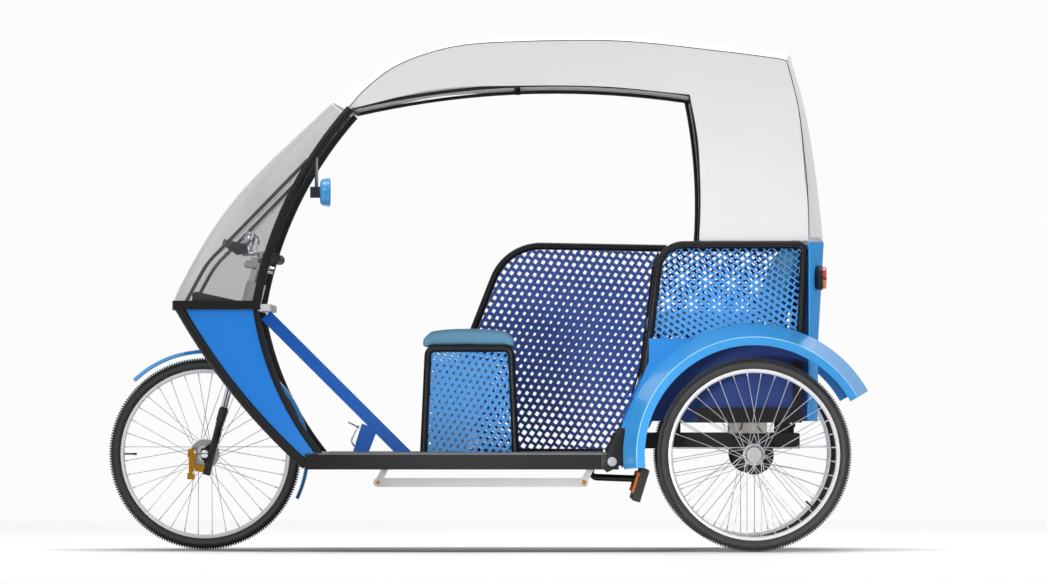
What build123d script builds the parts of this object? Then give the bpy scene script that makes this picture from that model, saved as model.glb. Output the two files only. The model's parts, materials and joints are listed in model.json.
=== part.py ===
"""Three-wheel cycle rickshaw with a steered front wheel, a windscreen and a fabric canopy.

Millimetres. The front is -X, the boarding (left) side is -Y and up is +Z.
The origin is on the ground, under the middle of the overall length and width.
Outlines are (x, z) points of the side elevation unless a comment says otherwise.
"""
import os
from math import acos, cos, degrees, hypot, pi, radians, sin, sqrt

from build123d import *

# ---------------------------------------------------------------- overall layout
TYRE_R = 326.5           # outer radius of a 26 inch tyre
TYRE_HALF = 23.5         # half of the tyre's width
AXLE_Z = TYRE_R          # height of all three axles
FRONT_AXLE_X = -959.0
REAR_AXLE_X = 901.0
BODY_HALF = 450.0        # half of the body's width
WHEEL_OFFSET = 70.0      # from the body's side to a rear wheel's middle plane
WHEEL_Y = BODY_HALF + WHEEL_OFFSET
GAP = 0.3                # seat clearance between neighbouring pieces
RUNNING = 0.05           # radial clearance of a shaft in its bore
SIDES = (-1, 1)          # left, right

# ---------------------------------------------------------------- wheels
RIM_SEAT_R = 282.0       # where the tyre's bead sits
RIM_FLANGE = 6.5         # height of the rim flange above the bead seat
RIM_R = RIM_SEAT_R + RIM_FLANGE
RIM_DEPTH = 11.0
RIM_INNER_R = RIM_SEAT_R - RIM_DEPTH
TYRE_SHOULDER = (9.5, 2.5)   # below the crown and inside the widest point
TYRE_CROWN_HALF = 8.0
TYRE_BULGE = 13.5        # widest point above the rim flange
RIM_HALF = 12.5
RIM_LIP = 1.7            # thickness of the rim flange
SPOKE_R = 1.3
SPOKES_PER_FLANGE = 18
SPOKE_LEAN = 62.0        # degrees that a spoke's hub end leads its rim end
SPOKE_RIM_Y = 3.0
SPOKE_END = 3.0          # how far a spoke's end sits in the rim
SPOKE_HEAD = 4.0         # and in the hub flange's edge
HUB_R = 17.0
FLANGE_R = 29.0
FLANGE_T = 3.0
FRONT_FLANGE_Y = 30.0
REAR_FLANGE_Y = 26.0
FRONT_AXLE_R = 6.0
REAR_STUB_R = 8.0
CAP_R = 26.0
CAP_T = 9.0
REAR_DISC_R = 67.0
REAR_DISC_BORE_R = 18.0
REAR_DISC_Y = 48.0       # inboard of the wheel's middle plane
FRONT_DISC_R = 50.0
FRONT_DISC_Y = 38.0
PAD_CLEARANCE = 3.0      # from the brake pads to the front disc's middle plane
DISC_T = 2.5
REAR_HUB_Y = (-REAR_DISC_Y - 2, 29)   # inboard and outboard ends of a rear hub
STUB_REACH = 32.0        # of the rear axle outboard of a wheel's middle plane

# ---------------------------------------------------------------- chassis
RAIL_BOTTOM = 276.0
RAIL = 50.0              # square rail
RAIL_TOP = RAIL_BOTTOM + RAIL
RAIL_FRONT_X = -610.0
RAIL_REAR_X = 447.0
FRONT_CROSS_X = -565.0   # front face of the front cross member
POST_X = 407.0           # foot of the sloping gusset at the rail's rear end
GUSSET_TOP = 12.0        # the gusset's flat top
GUSSET_LAP = 10.0        # overlap of the gusset and the rear rail
SPINE_HALF = 25.0
FLOOR_T = 5.0
FLOOR_TOP = RAIL_TOP + FLOOR_T
REAR_RAIL_Z = (347.0, 398.0)
REAR_RAIL_END_X = 1056.0
REAR_RAIL_Y = (BODY_HALF - RAIL, BODY_HALF - 10)
TRAYS_X = (840.0, 908.0)  # front edges of the two battery trays
TRAY_W = 30.0
REAR_CROSS = 40.0
REAR_CROSS_X = 500.0    # front face of the rear frame's first cross member
TUB_RAIL_X = (708.0, 1062.0)
TUB_RAIL_Z = (434.0, 485.0)
TUB_RAIL_W = 25.0
TUB_POST_W = 30.0
TUB_POST_TOP = 640.0

# ---------------------------------------------------------------- front frame
TUBE_Y = BODY_HALF - 13  # middle plane of the front frame's side tubes
PILLAR_R = 14.5
FRONT_TUBE_R = 16.0
LOWER_PILLAR_R = 11.0
PILLAR = ((-775, 826), (-646, 1216), (-457, 1491))
LOWER_PILLAR = ((-776, 826), (-683, 520), (-560, 326))
FRONT_TUBE = ((-1036, 826), (-868, 571), (-606, 290))
BELT_Z = (815.0, 845.0)
BELT_W = 30.0
BELT_REAR_X = -775.0
BELT_CORNER_X = -1036.0
BELT_TIP_X = -1053.0
APRON_BOTTOM = 705.0
APRON_BOW = 10.0

# ---------------------------------------------------------------- screen and canopy
SCREEN_T = 5.0
# columns: side x, side z, middle x, middle z
SCREEN = (
    (-1015, BELT_Z[1] + GAP, -1067, BELT_Z[1] + GAP),
    (-996, 888, -1044, 898),
    (-941, 969, -985, 1008),
    (-860, 1039, -926, 1103),
    (-759, 1140, -849, 1206),
    (-669, 1236, -752, 1310),
    (-618, 1301, -686, 1373),
    (-558, 1387, -606, 1448),
    (-474, 1484, -529, 1520),
)
STAY_R = 6.0
STAY = ((-1012, 838), (-941, 969), (-600, 1320))
STAY_BEND = 260.0
DASH = ((-990, 845.3), (-990, 868), (-978, 876), (-842, 846))
FABRIC_T = 4.0
# columns: side x, side z, middle x, middle z
ROOF = (
    (-471, 1487, -525, 1523),
    (-399, 1565, -413, 1598),
    (-289, 1643, -300, 1666),
    (-112, 1700, -112, 1722),
    (105, 1718, 105, 1746),
    (450, 1720, 450, 1748),
    (795, 1685, 800, 1717),
    (1012, 1657, 1030, 1691),
    (1051, 1501, 1080, 1516),
    (1071, 1343, 1110, 1356),
    (1083, 1215, 1130, 1208),
    (1088, 1048, 1147, 1050),
)
ROOF_HALF = TUBE_Y - PILLAR_R - GAP   # the roof and the screen end between the pillars
RAIL_TUBE_R = 6.0
SIDE_RAIL = ((-446, 1494), (105, 1569), (686, 1539))
SIDE_POST = ((686, 1539), (722, 1235), (718, 1046))
BOW_R = 10.0
MID_BOW_X = 105.0
BOWS = ((MID_BOW_X, 1718, 1746), (998, 1652, 1684))   # x, z at the sides, z in the middle
MID_BOW_FOOT_Z = 1562.0
BRACE_END = (1006, 1545)  # x, z where the brace from the side rail meets the rear post
REAR_POST_INSET = 6.0
REAR_POST = ((1058, 1046), (998, 1630))

# ---------------------------------------------------------------- steering
STEER_AXIS = Vector(0.252, 0, 0.9677).normalized()
STEER_FOOT = Vector(-937, 0, 322)
FORK_LEG_Y = 62.0
FORK_LUG = ((-974, 338), (-962, 346), (-925, 372), (-934, 300), (-948, 276), (-972, 318))
FORK_LUG_Y = (FORK_LEG_Y - 6, FORK_LEG_Y + 1)
LOWER_LEG_R = 12.0
STANCHION_R = 10.0
LEG_FOOT_Z = 255.0
LEG_CHANGE_Z = 435.0
CROWN_Z = (690.0, 715.0)
CROWN_DEPTH = 44.0
HEAD_Z = (725.0, 908.0)
HEAD_R = 33.5
COLUMN_R = 28.0
COLUMN_TOP_Z = 950.0
STEM_R = 20.0
STEM_TOP_Z = 1008.0
CLAMP_R = 13.0
CLAMP_HALF = 54.0
CLAMP_Z = 962.0
BAR_R = 11.0
# columns: x, y, z of the right half, from the middle out
BAR_POINTS = ((-742, 0, 991), (-742, 70, 991), (-728, 180, 991), (-712, 300, 991))
GRIP_R = 17.0
GRIP_LENGTH = 112.0
MUDGUARD_R = TYRE_R + 28.5
MUDGUARD_T = 3.0
MUDGUARD_HALF = 33.0
MUDGUARD_FROM = -26.0    # degrees above the rear, at the tail
MUDGUARD_TO = 134.0

# ---------------------------------------------------------------- beam and main tube
BEAM_X = (-767.0, -726.0)
BEAM_Z = (810.0, 833.0)
MAIN_TUBE = ((-751.5, 798.5), (-255, 303))
MAIN_TUBE_DEPTH = 42.0
MAIN_TUBE_HALF = 30.0
STRUT = ((-456, 331.3), (-402, 331.3), (-372, 410), (-425, 430))
STRUT_INSET = 5.0        # the strut is this much thinner than the tube on each side
BRAKE_ARM = ((-451, 0, 352), (-462, 0, 372), (-437, 0, 424))
BRAKE_ARM_R = 3.0
BRAKE_ARM_BEND = 8.0
BRAKE_TREAD = ((-470, 436), (-433, 418), (-435, 414), (-472, 432))
BRAKE_TREAD_HALF = 32.0

# ---------------------------------------------------------------- driver's seat
SEAT_TUBE_R = 12.0
SEAT_HALF = 205.0
SEAT_LOOP = ((-213, 331.3), (-197, 685), (84, 685), (99, 331.3))
SEAT_BEND = 25.0
SEAT_BAR_R = 10.0
SEAT_BARS = ((-188, 685), (74, 685), (-211, 371), (97, 371))   # cross bars, (x, z)
PAN_T = 6.0
CUSHION_X = (-221.0, 98.0)
CUSHION_T = 47.0
LOCKER = ((-190, 331.3), (-72, 331.3), (40, 643), (-178, 643))
LOCKER_HALF = 185.0

# ---------------------------------------------------------------- passenger tub
LOOP_R = 12.5
PANEL_T = 4.0
LOOP_Y = BODY_HALF - PANEL_T - GAP - LOOP_R
LOOP = ((531, 560), (590, 1033), (1072, 1033), (1058, 700))
LOOP_BENDS = (85, 24)
MESH_T = 3.0
MESH_EDGE = 3.0          # least sheet left between a hole and the panel's edge
MESH_BOTTOM = 706.0
TUB_SIDE = ((454, 416), (548, 640), (548, 718), (1085.7, 718), (1080.7, 439), (560, 439), (549, 416))
# columns: side x, side z, middle x, middle z
TUB_BACK = (
    (1085, 439, 1128, 439),
    (1090, 715, 1130, 715),
    (1090, 1044, 1149, 1046),
)
BENCH_FRONT = ((417, 326.3), (548, 640), (548, 733))
BENCH_HALF = BODY_HALF - 30
BENCH_WALL = 5.0
BENCH_RIB_Z = 525.0
BENCH_WEB_SETBACK = 70.0
BENCH_LEGS_X = (625.0, 990.0)
BENCH_LEG = 30.0
DECK_Z = (733.0, 738.0)
DECK_END_X = 1040.0
BENCH_X = (535.0, 911.0)
BENCH_T = 67.0
BENCH_CUSHION_HALF = BENCH_HALF - 8
BACKREST_FOOT = (915.0, 783.0)
BACKREST_HEAD = (1004.0, 1035.0)
BACKREST_T = 70.0
BACKREST_HALF = BENCH_HALF - 5
BACK_TUBE_R = 11.0
BACK_TUBE_HALF = 300.0
GUARD = ((-120, 338), (-106, 600), (68, 1043), (620, 1033))
GUARD_BENDS = (120, 175)
GUARD_SILL_Z = 338.0
GUARD_LEAN = ((-112, 338), (406, 338), (545, 640), (590, 1033), (190, 1040), (121, 1028), (63, 989),
              (23, 930), (-106, 600))

# Staggered rows of square holes. Columns: degrees that the rows rise to the rear, hole pitch
# along a row, row spacing, hole width.
SIDE_HOLES = (-36.9, 22.5, 19.0, 15.0)
GUARD_HOLES = (55.7, 26.1, 23.1, 14.0)
SEAT_HOLES = (52.5, 23.6, 20.5, 15.5)
RIM_SAMPLES = 160        # points that follow a panel's edge

# ---------------------------------------------------------------- rear fenders
FENDER_OUTER_Y = WHEEL_Y + 55
FENDER_SHOULDER_Y = BODY_HALF + 12
FENDER_INNER_R = TYRE_R + 41.5
FENDER_LIP_R = FENDER_INNER_R + 27
FENDER_SHOULDER_R = FENDER_LIP_R + 45
FENDER_T = 4.0
FENDER_FRONT_DROP = 6.5  # degrees below the axle at the front
FENDER_REACH = TYRE_R - FRONT_AXLE_X - REAR_AXLE_X   # as far behind the axle as the part is balanced

# ---------------------------------------------------------------- drive, lamps, mirror
BATTERY_X = (825.0, 953.0)
BATTERY_Z = (362.3, 433.0)
BATTERY_HALF = 150.0
MOTOR_X = 1018.0
MOTOR_R = 17.0
MOTOR_HALF = 75.0
HANGER_X = (880.0, 922.0)
HOUSING_R = 18.0
HOUSING_END_Y = WHEEL_Y - REAR_DISC_Y - 17
LAMP_R = 42.0
LAMP_Y = BODY_HALF - 120
LAMP_Z = 923.0
LAMP_X = (1136.0, 1149.0)
# Plates of the front caliper. Columns: (x, z) outline, depth outside and inside the fork leg's
# middle plane.
CALIPER_PLATES = (
    (((-1018, 316), (-988, 316), (-986, 342), (-1014, 345)), 10, 6),
    (((-1013, 258), (-996, 258), (-991, 317), (-1013, 317)), 10, 6),
    (((-1018, 240), (-994, 240), (-992, 262), (-1018, 262)), 10, 6),
    (((-1000, 290), (-990, 268), (-952, 262), (-950, 285)), 4, 4),
)
CALIPER_PAD = ((-1012, -990), (318, 340))   # x and z

POD = ((-902, 1040), (-895, 1059), (-818, 1040), (-812, 1012), (-850, 1004))
POD_HALF = 24.0
CUP_R = 27.0
CUP_HEIGHT = 66.0
CUP_SHIFT = Vector(-40, 0, 8)   # from the stem's top to the cup's base
CUP_FOOT = (-20, 52, -4, 12)    # x from the cup's base, z from the stem's top
CUP_FOOT_HALF = 14.0

MIRROR_X = -571.0
MIRROR_Y = -TUBE_Y - 4
MIRROR_ROD_Z = (1226, 1342)
MIRROR_JOINT = ((-592, -559.3), (MIRROR_Y - 18, MIRROR_Y + 16), (1191, 1228))
MIRROR_MIDDLE = (-559, MIRROR_Y - 26, 1209)
MIRROR_SIZE = (70, 49)   # half width and half height
MIRROR_DEPTH = 35.0
MIRROR_ROUNDING = 8.0
MIRROR_ROD_R = 6.0

# ---------------------------------------------------------------- boarding step
STEP_PIVOTS_X = (-329.0, 364.0)
STEP_PIVOT_Z = 301.0
CRANK = (-36.0, -69.0)    # from a pivot to its link pin
CRANK_Y = (BODY_HALF - RAIL - 16, BODY_HALF - RAIL - 8)
CRANK_BOSS_R = 17.0
ROD_Y = (CRANK_Y[0] - 13, CRANK_Y[0] - 1)
ROD_HALF_HEIGHT = 15.0
SHAFT_R = 8.0
SHAFT_END_Y = BODY_HALF - 22
PIN_R = 5.0
ARM_Y = BODY_HALF - 105
ARM_T = 18.0
ARM_POINTS = ((364, 301), (349, 248), (522, 241.4))
BOARD_CENTRE = (521.0, 223.0)
BOARD_SIZE = (29.0, 114.0)
BOARD_TILT = 17.0
BOARD_HALF = BODY_HALF - 20


# ================================================================ shape helpers
def block(x, y, z):
    """A box from its three (low, high) ranges."""
    size = [high - low for low, high in (x, y, z)]
    return Pos(x[0], y[0], z[0]) * Box(*size, align=(Align.MIN,) * 3)


def rod(start, end, radius):
    """A round bar between two points."""
    start, end = Vector(start), Vector(end)
    plane = Plane(origin=start, z_dir=end - start)
    return plane * Cylinder(radius, (end - start).length, align=(Align.CENTER, Align.CENTER, Align.MIN))


def side_plane(y):
    """The side elevation's plane at y, its normal towards -Y."""
    return Plane(origin=(0, y, 0), x_dir=(1, 0, 0), z_dir=(0, -1, 0))


def plate(outline, y_low, y_high):
    """A flat plate with an (x, z) outline, between two y planes."""
    face = make_face(Polyline(*outline, close=True))
    return extrude(side_plane(y_high) * face, amount=y_high - y_low, dir=(0, -1, 0))


def arc_plate(edges, y_low, y_high):
    """As plate, from edges drawn in the side elevation."""
    face = make_face(edges)
    return extrude(side_plane(y_high) * face, amount=y_high - y_low, dir=(0, -1, 0))


def arc_tube(points, y, radius):
    """A tube bent to the arc through three (x, z) points, in the plane y."""
    start, middle, end = [Vector(x, y, z) for x, z in points]
    path = ThreePointArc(start, middle, end)
    section = Plane(origin=start, z_dir=path % 0) * Circle(radius)
    return sweep(section, path=path)


def bent_tube(points, bends, radius):
    """A tube through 3-D points, with a bend radius for each inner point."""
    path = FilletPolyline(*[Vector(*p) for p in points], radius=bends)
    section = Plane(origin=path @ 0, z_dir=path % 0) * Circle(radius)
    return sweep(section, path=path)


def at_side(points, y):
    """(x, z) points as 3-D points in the plane y."""
    return [(x, y, z) for x, z in points]


def bowed_sheet(stations, half_width, thickness, lift=0.0):
    """A sheet across the body: each station is an arc from side to side over a raised middle."""
    faces = []
    for side_x, side_z, middle_x, middle_z in stations:
        inward = Vector(side_x - middle_x, 0, side_z - middle_z).normalized()
        side = Vector(side_x, half_width, side_z) - inward * lift
        middle = Vector(middle_x, 0, middle_z) - inward * lift
        far = Vector(side.X, -half_width, side.Z)
        depth = inward * (thickness + lift)
        outer = ThreePointArc(far, middle, side)
        inner = ThreePointArc(side + depth, middle + depth, far + depth)
        ends = (Line(side, side + depth), Line(far + depth, far))
        faces.append(make_face([outer, ends[0], inner, ends[1]]))
    return loft(faces, ruled=True)


def turned(profile):
    """A ring about the Y axis, from a closed (radius, y) profile."""
    face = make_face(Polyline(*profile, close=True))
    return revolve(face, axis=Axis.Y, revolution_arc=360)


def arched(profile, angle_from, angle_to):
    """Part of a ring about the Y axis; angles are in degrees above +X."""
    face = make_face(Polyline(*profile, close=True))
    return Rot(0, -angle_to, 0) * revolve(face, axis=Axis.Y, revolution_arc=angle_to - angle_from)


def both_sides(shape):
    """The shape and its mirror image across the body."""
    return Compound([*shape.solids(), *mirror(shape, about=Plane.XZ).solids()])


def well_inside(x, z, outline, margin):
    """Whether a point lies inside a closed (x, z) outline, at least margin from its edge."""
    crossings = 0
    for (x0, z0), (x1, z1) in zip(outline, outline[1:] + outline[:1]):
        run, rise = x1 - x0, z1 - z0
        share = ((x - x0) * run + (z - z0) * rise) / (run * run + rise * rise)
        share = min(max(share, 0), 1)
        if hypot(x - x0 - share * run, z - z0 - share * rise) < margin:
            return False
        if (z0 > z) != (z1 > z) and x < x0 + (z - z0) * run / rise:
            crossings += 1
    return crossings % 2 == 1


def perforated(panel, rise, pitch, row_gap, hole):
    """A flat upright panel with staggered rows of square holes."""
    skin = panel.faces().filter_by(Axis.Y).sort_by(Axis.Y)[0]
    rim = skin.outer_wire()
    outline = [((rim @ (n / RIM_SAMPLES)).X, (rim @ (n / RIM_SAMPLES)).Z) for n in range(RIM_SAMPLES)]
    box = skin.bounding_box()
    y, middle_x, middle_z = box.min.Y, (box.min.X + box.max.X) / 2, (box.min.Z + box.max.Z) / 2
    along = (cos(radians(rise)), sin(radians(rise)))
    reach = hypot(box.size.X, box.size.Z) / 2
    rows, places = int(reach / row_gap) + 1, int(reach / pitch) + 1
    corners = [(a * hole / 2, b * hole / 2) for a, b in ((-1, -1), (1, -1), (1, 1), (-1, 1))]
    holes = []
    for row in range(-rows, rows + 1):
        for place in range(-places, places + 1):
            u, v = (place + row % 2 / 2) * pitch, row * row_gap
            x = middle_x + u * along[0] - v * along[1]
            z = middle_z + u * along[1] + v * along[0]
            if well_inside(x, z, outline, MESH_EDGE + hole / sqrt(2)):
                points = [Vector(x + a * along[0] - b * along[1], y, z + a * along[1] + b * along[0])
                          for a, b in corners]
                holes.append(Wire.make_polygon(points, close=True))
    return extrude(Face(rim, holes), amount=MESH_T, dir=(0, 1, 0))


def on_axis(z):
    """The point of the steering axis at height z."""
    return STEER_FOOT + STEER_AXIS * ((z - STEER_FOOT.Z) / STEER_AXIS.Z)


# ================================================================ wheels
def tyre():
    bead_y = RIM_HALF - RIM_LIP - GAP
    drop, tuck = TYRE_SHOULDER
    half = ((RIM_SEAT_R + GAP, bead_y), (RIM_R + 2, bead_y), (RIM_R + TYRE_BULGE, TYRE_HALF),
            (TYRE_R - drop, TYRE_HALF - tuck), (TYRE_R, TYRE_CROWN_HALF))
    return turned(half + tuple((r, -y) for r, y in reversed(half)))


def rim_profile():
    half = ((RIM_INNER_R, 8), (RIM_INNER_R + 5, RIM_HALF), (RIM_R, RIM_HALF),
            (RIM_R, RIM_HALF - RIM_LIP), (RIM_SEAT_R, RIM_HALF - RIM_LIP))
    return half + tuple((r, -y) for r, y in reversed(half))


def spokes(flange_y):
    """Each flange's spokes all lean one way, so that the two sets cross."""
    bars = []
    for side in SIDES:
        for number in range(SPOKES_PER_FLANGE):
            rim_angle = 2 * pi * (number + side / 4) / SPOKES_PER_FLANGE
            hub_angle = rim_angle + side * radians(SPOKE_LEAN)
            hub_r = FLANGE_R - SPOKE_HEAD
            start = (hub_r * cos(hub_angle), side * flange_y, hub_r * sin(hub_angle))
            end_r = RIM_INNER_R + SPOKE_END
            end = (end_r * cos(rim_angle), side * SPOKE_RIM_Y, end_r * sin(rim_angle))
            bars.append(rod(start, end, SPOKE_R))
    return bars


def laced_rim(flange_y, hub_low, hub_high, bore_r, cap=0.0):
    """Hub, spokes and rim in one piece; y is outboard, and a cap closes the outboard end."""
    hub = turned(((bore_r, hub_low), (HUB_R, hub_low), (HUB_R, hub_high), (bore_r, hub_high)))
    for side in SIDES:
        low = side * flange_y - FLANGE_T / 2
        hub += turned(((bore_r, low), (FLANGE_R, low), (FLANGE_R, low + FLANGE_T), (bore_r, low + FLANGE_T)))
    if cap:
        disc = turned(((0, hub_high), (CAP_R, hub_high), (CAP_R - 3, hub_high + cap), (0, hub_high + cap)))
        hub += disc - rod((0, hub_high - 1, 0), (0, hub_high + cap / 2, 0), bore_r)
    return (hub + turned(rim_profile())).fuse(*spokes(flange_y))


def disc(radius, bore, y):
    low, high = y - DISC_T / 2, y + DISC_T / 2
    return turned(((bore, low), (radius, low), (radius, high), (bore, high)))


# ================================================================ frame
def rail_gusset(across, extra=0.0):
    """The sloping plate from a side rail up to the higher rear rail."""
    foot_z, top_z = RAIL_TOP - 1, REAR_RAIL_Z[1] + extra
    front_x, rear_x = POST_X - extra, RAIL_REAR_X + extra
    outline = ((front_x, foot_z), (rear_x, foot_z), (rear_x, top_z), (rear_x - GUSSET_TOP - extra, top_z))
    return plate(outline, *across)


def chassis_frame():
    rails = []
    for side in SIDES:
        rail_y = sorted((side * (BODY_HALF - RAIL), side * BODY_HALF))
        rear_y = sorted((side * REAR_RAIL_Y[0], side * REAR_RAIL_Y[1]))
        rail = block((RAIL_FRONT_X, RAIL_REAR_X), rail_y, (RAIL_BOTTOM, RAIL_TOP))
        for pivot_x in STEP_PIVOTS_X:
            rail -= rod((pivot_x, side * (BODY_HALF - RAIL - 1), STEP_PIVOT_Z),
                        (pivot_x, side * (SHAFT_END_Y + 1), STEP_PIVOT_Z), SHAFT_R + RUNNING)
        rails.append(rail)
        rails.append(rail_gusset(rail_y))
        rails.append(block((RAIL_REAR_X - GUSSET_LAP, REAR_RAIL_END_X), rear_y, REAR_RAIL_Z))
    across = (-BODY_HALF + RAIL - 1, BODY_HALF - RAIL + 1)
    low = (RAIL_BOTTOM, RAIL_TOP)
    crosses = [
        block((FRONT_CROSS_X, FRONT_CROSS_X + RAIL), across, low),
        block((POST_X - 10, POST_X - 10 + RAIL), across, low),
        block((REAR_CROSS_X, REAR_CROSS_X + REAR_CROSS), across, REAR_RAIL_Z),
        block((REAR_RAIL_END_X - REAR_CROSS, REAR_RAIL_END_X), across, REAR_RAIL_Z),
    ]
    spine = block((FRONT_CROSS_X, POST_X), (-SPINE_HALF, SPINE_HALF), low)
    rear_pivot_x = STEP_PIVOTS_X[1]
    spine -= rod((rear_pivot_x, -RAIL, STEP_PIVOT_Z), (rear_pivot_x, RAIL, STEP_PIVOT_Z), SHAFT_R * 2)
    trays = [block((x, x + TRAY_W), across, (REAR_RAIL_Z[0], BATTERY_Z[0] - GAP)) for x in TRAYS_X]
    return rails[0].fuse(*rails[1:], *crosses, spine, *trays)


def tub_rails():
    """The outboard rails that carry the tub's sides, each with its rear post."""
    y_range = (BODY_HALF + GAP, BODY_HALF + GAP + TUB_RAIL_W)
    rail = block(TUB_RAIL_X, y_range, TUB_RAIL_Z)
    post = block((TUB_RAIL_X[1] - TUB_POST_W, TUB_RAIL_X[1]), y_range, (TUB_RAIL_Z[0], TUB_POST_TOP))
    return both_sides(rail + post)


def belt_bar(extra=0.0):
    """The bar that runs round the nose, as a ring open at the rear."""
    solids = []
    for reach in (BELT_W / 2, -BELT_W / 2):
        side = TUBE_Y + reach
        nose = BELT_CORNER_X - reach
        tip = BELT_TIP_X - reach
        grow = extra if reach > 0 else -extra
        rear = BELT_REAR_X + BELT_W / 2 + extra + (60 if reach < 0 else 0)
        edges = [
            Line((rear, side + grow), (nose - grow, side + grow)),
            ThreePointArc((nose - grow, side + grow), (tip - grow, 0), (nose - grow, -side - grow)),
            Line((nose - grow, -side - grow), (rear, -side - grow)),
            Line((rear, -side - grow), (rear, side + grow)),
        ]
        low = BELT_Z[0] - extra - (20 if reach < 0 else 0)
        height = BELT_Z[1] - BELT_Z[0] + 2 * extra + (40 if reach < 0 else 0)
        solids.append(Pos(0, 0, low) * extrude(make_face(edges), amount=height, dir=(0, 0, 1)))
    return solids[0] - solids[1]


def front_frame(extra=0.0):
    """Belt bar, windscreen pillars and lower front tubes; extra grows it into a clearance cutter."""
    tubes = []
    for side in SIDES:
        tubes.append(arc_tube(PILLAR, side * TUBE_Y, PILLAR_R + extra))
        tubes.append(arc_tube(LOWER_PILLAR, side * TUBE_Y, LOWER_PILLAR_R + extra))
        tubes.append(arc_tube(FRONT_TUBE, side * TUBE_Y, FRONT_TUBE_R + extra))
    frame = belt_bar(extra).fuse(*tubes)
    if extra:
        return frame
    rail_zone = block((RAIL_FRONT_X - GAP, 0), (-BODY_HALF - RAIL, BODY_HALF + RAIL), (0, FLOOR_TOP + GAP))
    return frame - rail_zone


def fairing_panels(cutter):
    """Flat side panels between the lower front tube and the lower pillar."""
    edges = [
        ThreePointArc(*FRONT_TUBE),
        Line(FRONT_TUBE[2], (FRONT_TUBE[2][0], FLOOR_TOP + GAP)),
        Line((FRONT_TUBE[2][0], FLOOR_TOP + GAP), LOWER_PILLAR[2]),
        ThreePointArc(LOWER_PILLAR[2], LOWER_PILLAR[1], LOWER_PILLAR[0]),
        Line(LOWER_PILLAR[0], FRONT_TUBE[0]),
    ]
    panel = arc_plate(edges, TUBE_Y - PANEL_T / 2, TUBE_Y + PANEL_T / 2) - cutter
    panel -= block((RAIL_FRONT_X - GAP, 0), (0, BODY_HALF + RAIL), (0, FLOOR_TOP + GAP))
    return both_sides(largest(panel))


def largest(shape):
    """The biggest solid of a cut shape."""
    return max(shape.solids(), key=lambda solid: solid.volume)


def tube_x(points, z):
    """Where the arc through three (x, z) points is at height z."""
    (x0, z0), (x1, z1), (x2, z2) = points
    return sum(x * (z - za) * (z - zb) / ((zc - za) * (zc - zb))
               for x, zc, za, zb in ((x0, z0, z1, z2), (x1, z1, z0, z2), (x2, z2, z0, z1)))


def nose_apron(cutter):
    """The blue front under the belt bar, as far down as the wheel's mudguard."""
    stations = []
    for z in (BELT_Z[0] - GAP, (BELT_Z[0] + APRON_BOTTOM) / 2, APRON_BOTTOM):
        x = tube_x(FRONT_TUBE, z)
        stations.append((x, z, x - APRON_BOW, z))
    return largest(bowed_sheet(stations, TUBE_Y, PANEL_T) - cutter)


def screen_stays(cutter, extra=0.0):
    stays = []
    for side in SIDES:
        stay = bent_tube(at_side(STAY, side * TUBE_Y), STAY_BEND, STAY_R + extra)
        if not extra:
            stay = largest(stay - cutter)
        stays.append(stay)
    return Compound([solid for stay in stays for solid in stay.solids()])


def quarter_windows(cutter, stay_cutter):
    top = PILLAR[1]
    outline = [(-1010, BELT_Z[1] + GAP), *STAY[1:], top, (tube_x(PILLAR, BELT_Z[1]), BELT_Z[1] + GAP)]
    edges = [
        Line(outline[0], outline[1]),
        Line(outline[1], outline[2]),
        ThreePointArc(outline[2], (tube_x(PILLAR, 1080), 1080), outline[4]),
        Line(outline[4], outline[0]),
    ]
    pane = arc_plate(edges, TUBE_Y - MESH_T / 2, TUBE_Y + MESH_T / 2) - cutter - stay_cutter
    return both_sides(largest(pane))


def windscreen():
    """The bowed pane between the pillars, standing on the belt bar."""
    return bowed_sheet(SCREEN, ROOF_HALF, SCREEN_T)


def steering_head(cutter):
    """Head tube on the cross beam between the pillars."""
    tube = rod(on_axis(HEAD_Z[0]), on_axis(HEAD_Z[1]), HEAD_R)
    beam = block(BEAM_X, (-TUBE_Y - 12, TUBE_Y + 12), BEAM_Z)
    gusset = block((on_axis(BEAM_Z[0]).X, BEAM_X[1]), (-MAIN_TUBE_HALF, MAIN_TUBE_HALF), BEAM_Z)
    bore = rod(on_axis(HEAD_Z[0] - 60), on_axis(HEAD_Z[1] + 60), COLUMN_R + RUNNING)
    return largest((tube + beam + gusset) - bore - cutter)


def main_tube():
    (x0, z0), (x1, z1) = MAIN_TUBE
    length = hypot(x1 - x0, z1 - z0)
    across = Vector(-(z1 - z0), x1 - x0) * (MAIN_TUBE_DEPTH / 2 / length)
    outline = [(x0 + across.X, z0 + across.Y), (x1 + across.X, z1 + across.Y),
               (x1 - across.X, z1 - across.Y), (x0 - across.X, z0 - across.Y)]
    strut_half = MAIN_TUBE_HALF - STRUT_INSET
    bar = plate(outline, -MAIN_TUBE_HALF, MAIN_TUBE_HALF) + plate(STRUT, -strut_half, strut_half)
    bar -= block((MAIN_TUBE[0][0] - 200, MAIN_TUBE[1][0] + 200), (-100, 100), (0, FLOOR_TOP + GAP))
    bar -= block((-900, BEAM_X[1] + GAP), (-100, 100), (BEAM_Z[0] - GAP, BEAM_Z[1] + 50))
    bar -= rod(on_axis(HEAD_Z[0]), on_axis(HEAD_Z[1]), HEAD_R + GAP)
    return largest(bar)


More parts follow.
